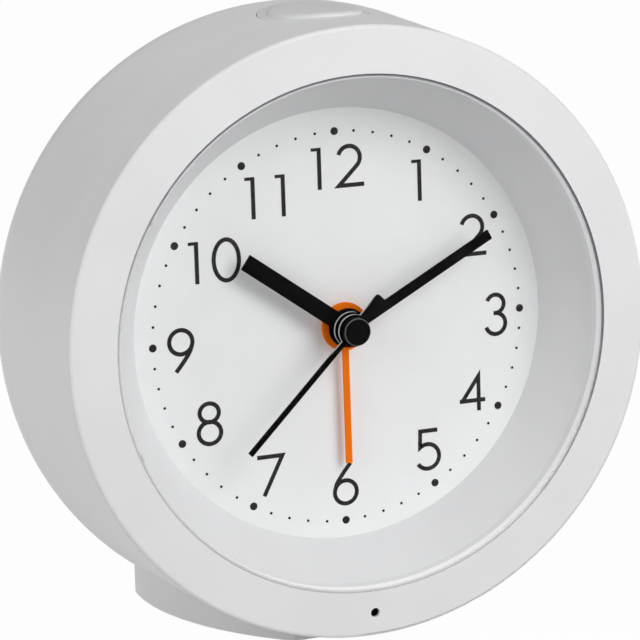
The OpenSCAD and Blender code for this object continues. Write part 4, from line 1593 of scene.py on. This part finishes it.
@dataclass
class PhotoCamera:
    """The camera of the photograph.

    Attributes:
        target: the point that the view is measured from, in metres.
        azimuth: direction of the camera round the clock, in degrees.
        elevation: its height over the target, in degrees.
        distance: its distance from the target, in metres.
        turn: how far it is turned off the target: pitch, yaw and roll in degrees.
        focal_px: focal length in pixels of the picture.
        picture_px: width of the picture in pixels.
        sensor: width of the sensor in millimetres.
        clip: nearest and farthest distance that it shows, in metres.
    """

    target: Vector
    azimuth: float = -22.5387
    elevation: float = 11.495
    distance: float = 0.4694337
    turn: tuple[float, float, float] = (-0.30795, -0.81072, 1.67678)
    focal_px: float = 3247.51
    picture_px: int = 640
    sensor: float = 36.0
    clip: Point = (0.05, 20.0)

    def build(self) -> None:
        """Puts the camera in its place."""
        az, el = math.radians(self.azimuth), math.radians(self.elevation)
        back = Vector((math.sin(az) * math.cos(el), -math.cos(az) * math.cos(el), math.sin(el)))
        right = Vector(Axis.HEIGHT.value).cross(back).normalized()
        pitch, yaw, roll = (math.radians(angle) for angle in self.turn)
        off = Matrix.Rotation(roll, 3, "Z") @ Matrix.Rotation(yaw, 3, "Y") @ Matrix.Rotation(pitch, 3, "X")
        rows = off @ Matrix((right, back.cross(right), back))
        data = bpy.data.cameras.new("photo_camera")
        data.sensor_width = self.sensor
        data.lens = self.sensor * self.focal_px / self.picture_px
        data.clip_start, data.clip_end = self.clip
        camera = bpy.data.objects.new("photo_camera", data)
        place = Matrix.Translation(self.target + back * self.distance)
        camera.matrix_world = place @ rows.transposed().to_4x4()
        bpy.context.scene.collection.objects.link(camera)
        bpy.context.scene.camera = camera


@dataclass(frozen=True)
class SoftLamp:
    """A square soft box.

    Attributes:
        name: the lamp's name.
        place: where it hangs, in metres.
        size: its side in metres.
        power: its power in watts.
    """

    name: str
    place: tuple[float, float, float]
    size: float
    power: float

    def build(self, target: Vector) -> None:
        """Hangs the lamp so that it shines at a point.

        Args:
            target: the point.
        """
        data = bpy.data.lights.new(self.name, "AREA")
        data.shape = "SQUARE"
        data.size = self.size
        data.energy = self.power
        lamp = bpy.data.objects.new(self.name, data)
        lamp.location = self.place
        lamp.rotation_euler = (target - Vector(self.place)).to_track_quat("-Z", "Y").to_euler()
        bpy.context.scene.collection.objects.link(lamp)


@dataclass(frozen=True)
class FloorPaper(Finish):
    """White paper of the studio's floor, which the camera sees as almost plain white.

    Attributes:
        tones: grey levels of the paper.
        cloud: size of the paper's clouds in millimetres.
        white: share of plain white that the camera sees.
    """

    tones: Point = (0.57, 0.59)
    cloud: float = 400.0
    white: float = 0.975

    def write(self, graph: Graph) -> None:
        """Writes paper that takes shadows, under white for what looks at it."""
        path = graph.node("ShaderNodeLightPath")
        seen = path["Is Camera Ray"].most(path["Is Glossy Ray"]).most(path["Is Transmission Ray"])
        low, high = self.tones
        tone = graph.tint(graph.noise(self.cloud, 1.0), grey(low), grey(high))
        paper = graph.principled({"Base Color": tone, "Roughness": 0.9})
        white = graph.node("ShaderNodeEmission", None, {"Color": grey(1.0), "Strength": 1.0})[0]
        graph.surface(graph.blend(seen * self.white, paper, white))


@dataclass
class Studio:
    """White floor, pale surroundings and soft lamps.

    Attributes:
        target: the middle of the clock's front, in metres.
        lamps: the soft boxes.
        ambient: level of the light from all round.
        floor_size: side of the floor in metres.
    """

    target: Vector
    lamps: tuple[SoftLamp, ...]
    ambient: float = 0.38
    floor_size: float = 12.0

    def build(self) -> None:
        """Builds floor, surroundings and lamps."""
        self.floor()
        self.surroundings()
        for lamp in self.lamps:
            lamp.build(self.target)
        bpy.context.scene.view_settings.view_transform = "Standard"

    def floor(self) -> None:
        """Lays the floor, white to the camera with the clock's shadow on it."""
        floor = Workpiece("studio_floor", lambda: bpy.ops.mesh.primitive_plane_add(size=self.floor_size))
        floor.obj.data.materials.append(FloorPaper("studio_paper").material())

    def surroundings(self) -> None:
        """Gives white surroundings to the eye and an even light to the clock."""
        world = bpy.data.worlds.new("studio_air")
        world.use_nodes = True
        bpy.context.scene.world = world
        graph = Graph(world.node_tree)
        path = graph.node("ShaderNodeLightPath")
        seen = path["Is Camera Ray"].most(path["Is Transmission Ray"])
        lit = graph.node("ShaderNodeBackground", None, {0: grey(1.0), 1: self.ambient})[0]
        white = graph.node("ShaderNodeBackground", None, {0: grey(1.0), 1: 1.0})[0]
        graph.node("ShaderNodeOutputWorld", None, {"Surface": graph.blend(seen, lit, white)})


def finishes(axis_height: float) -> dict[str, Finish]:
    """Names the finish of each material slot.

    Args:
        axis_height: height of the hands' axis in metres.

    Returns:
        Finishes by slot.
    """
    return {
        "case_white": MouldedPlastic("case_plastic", (0.86, 0.863, 0.872, 1.0)),
        "ring_white": MouldedPlastic("ring_plastic", (0.755, 0.76, 0.768, 1.0), 0.5),
        "button_white": MouldedPlastic("button_plastic", (0.8, 0.805, 0.815, 1.0), 0.36),
        "dial_white": DialPaint("dial_paint", (0.9, 0.908, 0.912, 1.0)),
        "lens_clear": ClearAcrylic("lens_acrylic", grey(1.0), grey(0.97)),
        "pad_rubber": SoftRubber("pad_rubber", grey(0.03)),
        "dark_plastic": MouldedPlastic("dark_plastic", (0.018, 0.018, 0.02, 1.0), 0.45),
        "board_green": CircuitBoard("board_mask", (0.012, 0.11, 0.035, 1.0), (0.03, 0.2, 0.06, 1.0)),
        "cell_jacket": CellJacket("cell_jacket", (0.02, 0.05, 0.11, 1.0), (0.62, 0.63, 0.62, 1.0), 24.2),
        "plated_steel": Metal("plated_steel", (0.66, 0.66, 0.64, 1.0), (0.5, 0.49, 0.46, 1.0)),
        "movement_plastic": MouldedPlastic("movement_plastic", (0.62, 0.64, 0.62, 1.0), 0.4),
        "gear_plastic": MouldedPlastic("gear_plastic", (0.78, 0.76, 0.7, 1.0), 0.38),
        "copper_wire": WoundWire("copper_winding", (0.72, 0.28, 0.1, 1.0)),
        "magnet_grey": Metal("magnet_grey", (0.22, 0.22, 0.23, 1.0), (0.16, 0.16, 0.16, 1.0), 0.45),
        "brass_metal": Metal("brass_metal", (0.74, 0.53, 0.2, 1.0), (0.6, 0.4, 0.14, 1.0)),
        "hand_black": HandLacquer("hand_lacquer", (0.0012, 0.0011, 0.0011, 1.0), 3.4, axis_height),
        "hand_orange": MouldedPlastic("hand_orange", (0.95, 0.19, 0.002, 1.0), 0.7, specular=0.08),
        "knob_plastic": MouldedPlastic("knob_plastic", (0.44, 0.445, 0.455, 1.0), 0.38),
    }


def dress_solids(by_slot: dict[str, Finish], by_node: dict[str, Finish]) -> None:
    """Gives every solid its finish.

    Args:
        by_slot: finishes by slot.
        by_node: finishes of the solids that differ from their slot.
    """
    for part in frame["record"]["subparts"]:
        finish = by_node.get(part["node"], by_slot[part["material_slot"]])
        data = frame["nodes"][part["node"]].data
        data.materials.clear()
        data.materials.append(finish.material())
        LOG.info("%s: %s", part["node"], finish.name)


def main() -> None:
    """Builds the dressed clock, the studio and the camera."""
    logging.basicConfig(level=logging.INFO, format="%(message)s")
    low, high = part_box("dial")
    middle = Vector((0.0, low.y, (low.z + high.z) / 2))
    rim = Vector((0.0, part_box("housing")[0].y + CROWN, middle.z))
    PhotoCamera(rim).build()
    Studio(rim, (
        SoftLamp("key_box", (0.55, -1.0, 0.85), 0.7, 6.7),
        SoftLamp("right_box", (0.8, -1.2, 0.4), 0.8, 4.1),
        SoftLamp("left_box", (-1.2, -0.4, 0.5), 0.8, 4.2),
    )).build()
    by_slot = finishes(middle.z)
    black = grey(0.001)
    covered = HandLacquer("covered_lacquer", black)
    dress_solids(by_slot, {"hour_hand": covered})
    DialPrint(middle).build(PrintedInk("dial_ink", grey(0.009), grey(0.02)))
    face = Vector((0.0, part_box("battery_door")[1].y, middle.z))
    time_knob, alarm_knob = (
        (sum(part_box(node), Vector()) / 2 - face) / MM for node in ("time_set_knob", "alarm_set_knob"))
    CoverPrint(
        face, time_knob=(time_knob.x, time_knob.z), alarm_knob=(alarm_knob.x, alarm_knob.z),
    ).build(PrintedInk("cover_ink", grey(0.16), grey(0.22)))
    SnoozeCap(middle.z, rim.y).build(by_slot["button_white"])
    LensFitting(rim).build(by_slot)
    cap_low, cap_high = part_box("second_hand_cap")
    # The cap's lacquer carries a painted glint on its chamfer.
    HandCap(Vector((0.0, cap_low.y, middle.z)), cap_high.y - cap_low.y).build(
        HandLacquer("cap_lacquer", black, painted_glint=0.13))
    sensor_low, sensor_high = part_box("light_sensor")
    SensorWindow(Vector((0.0, rim.y, (sensor_low.z + sensor_high.z) / 2))).build(covered)


if __name__ == "__main__":
    main()
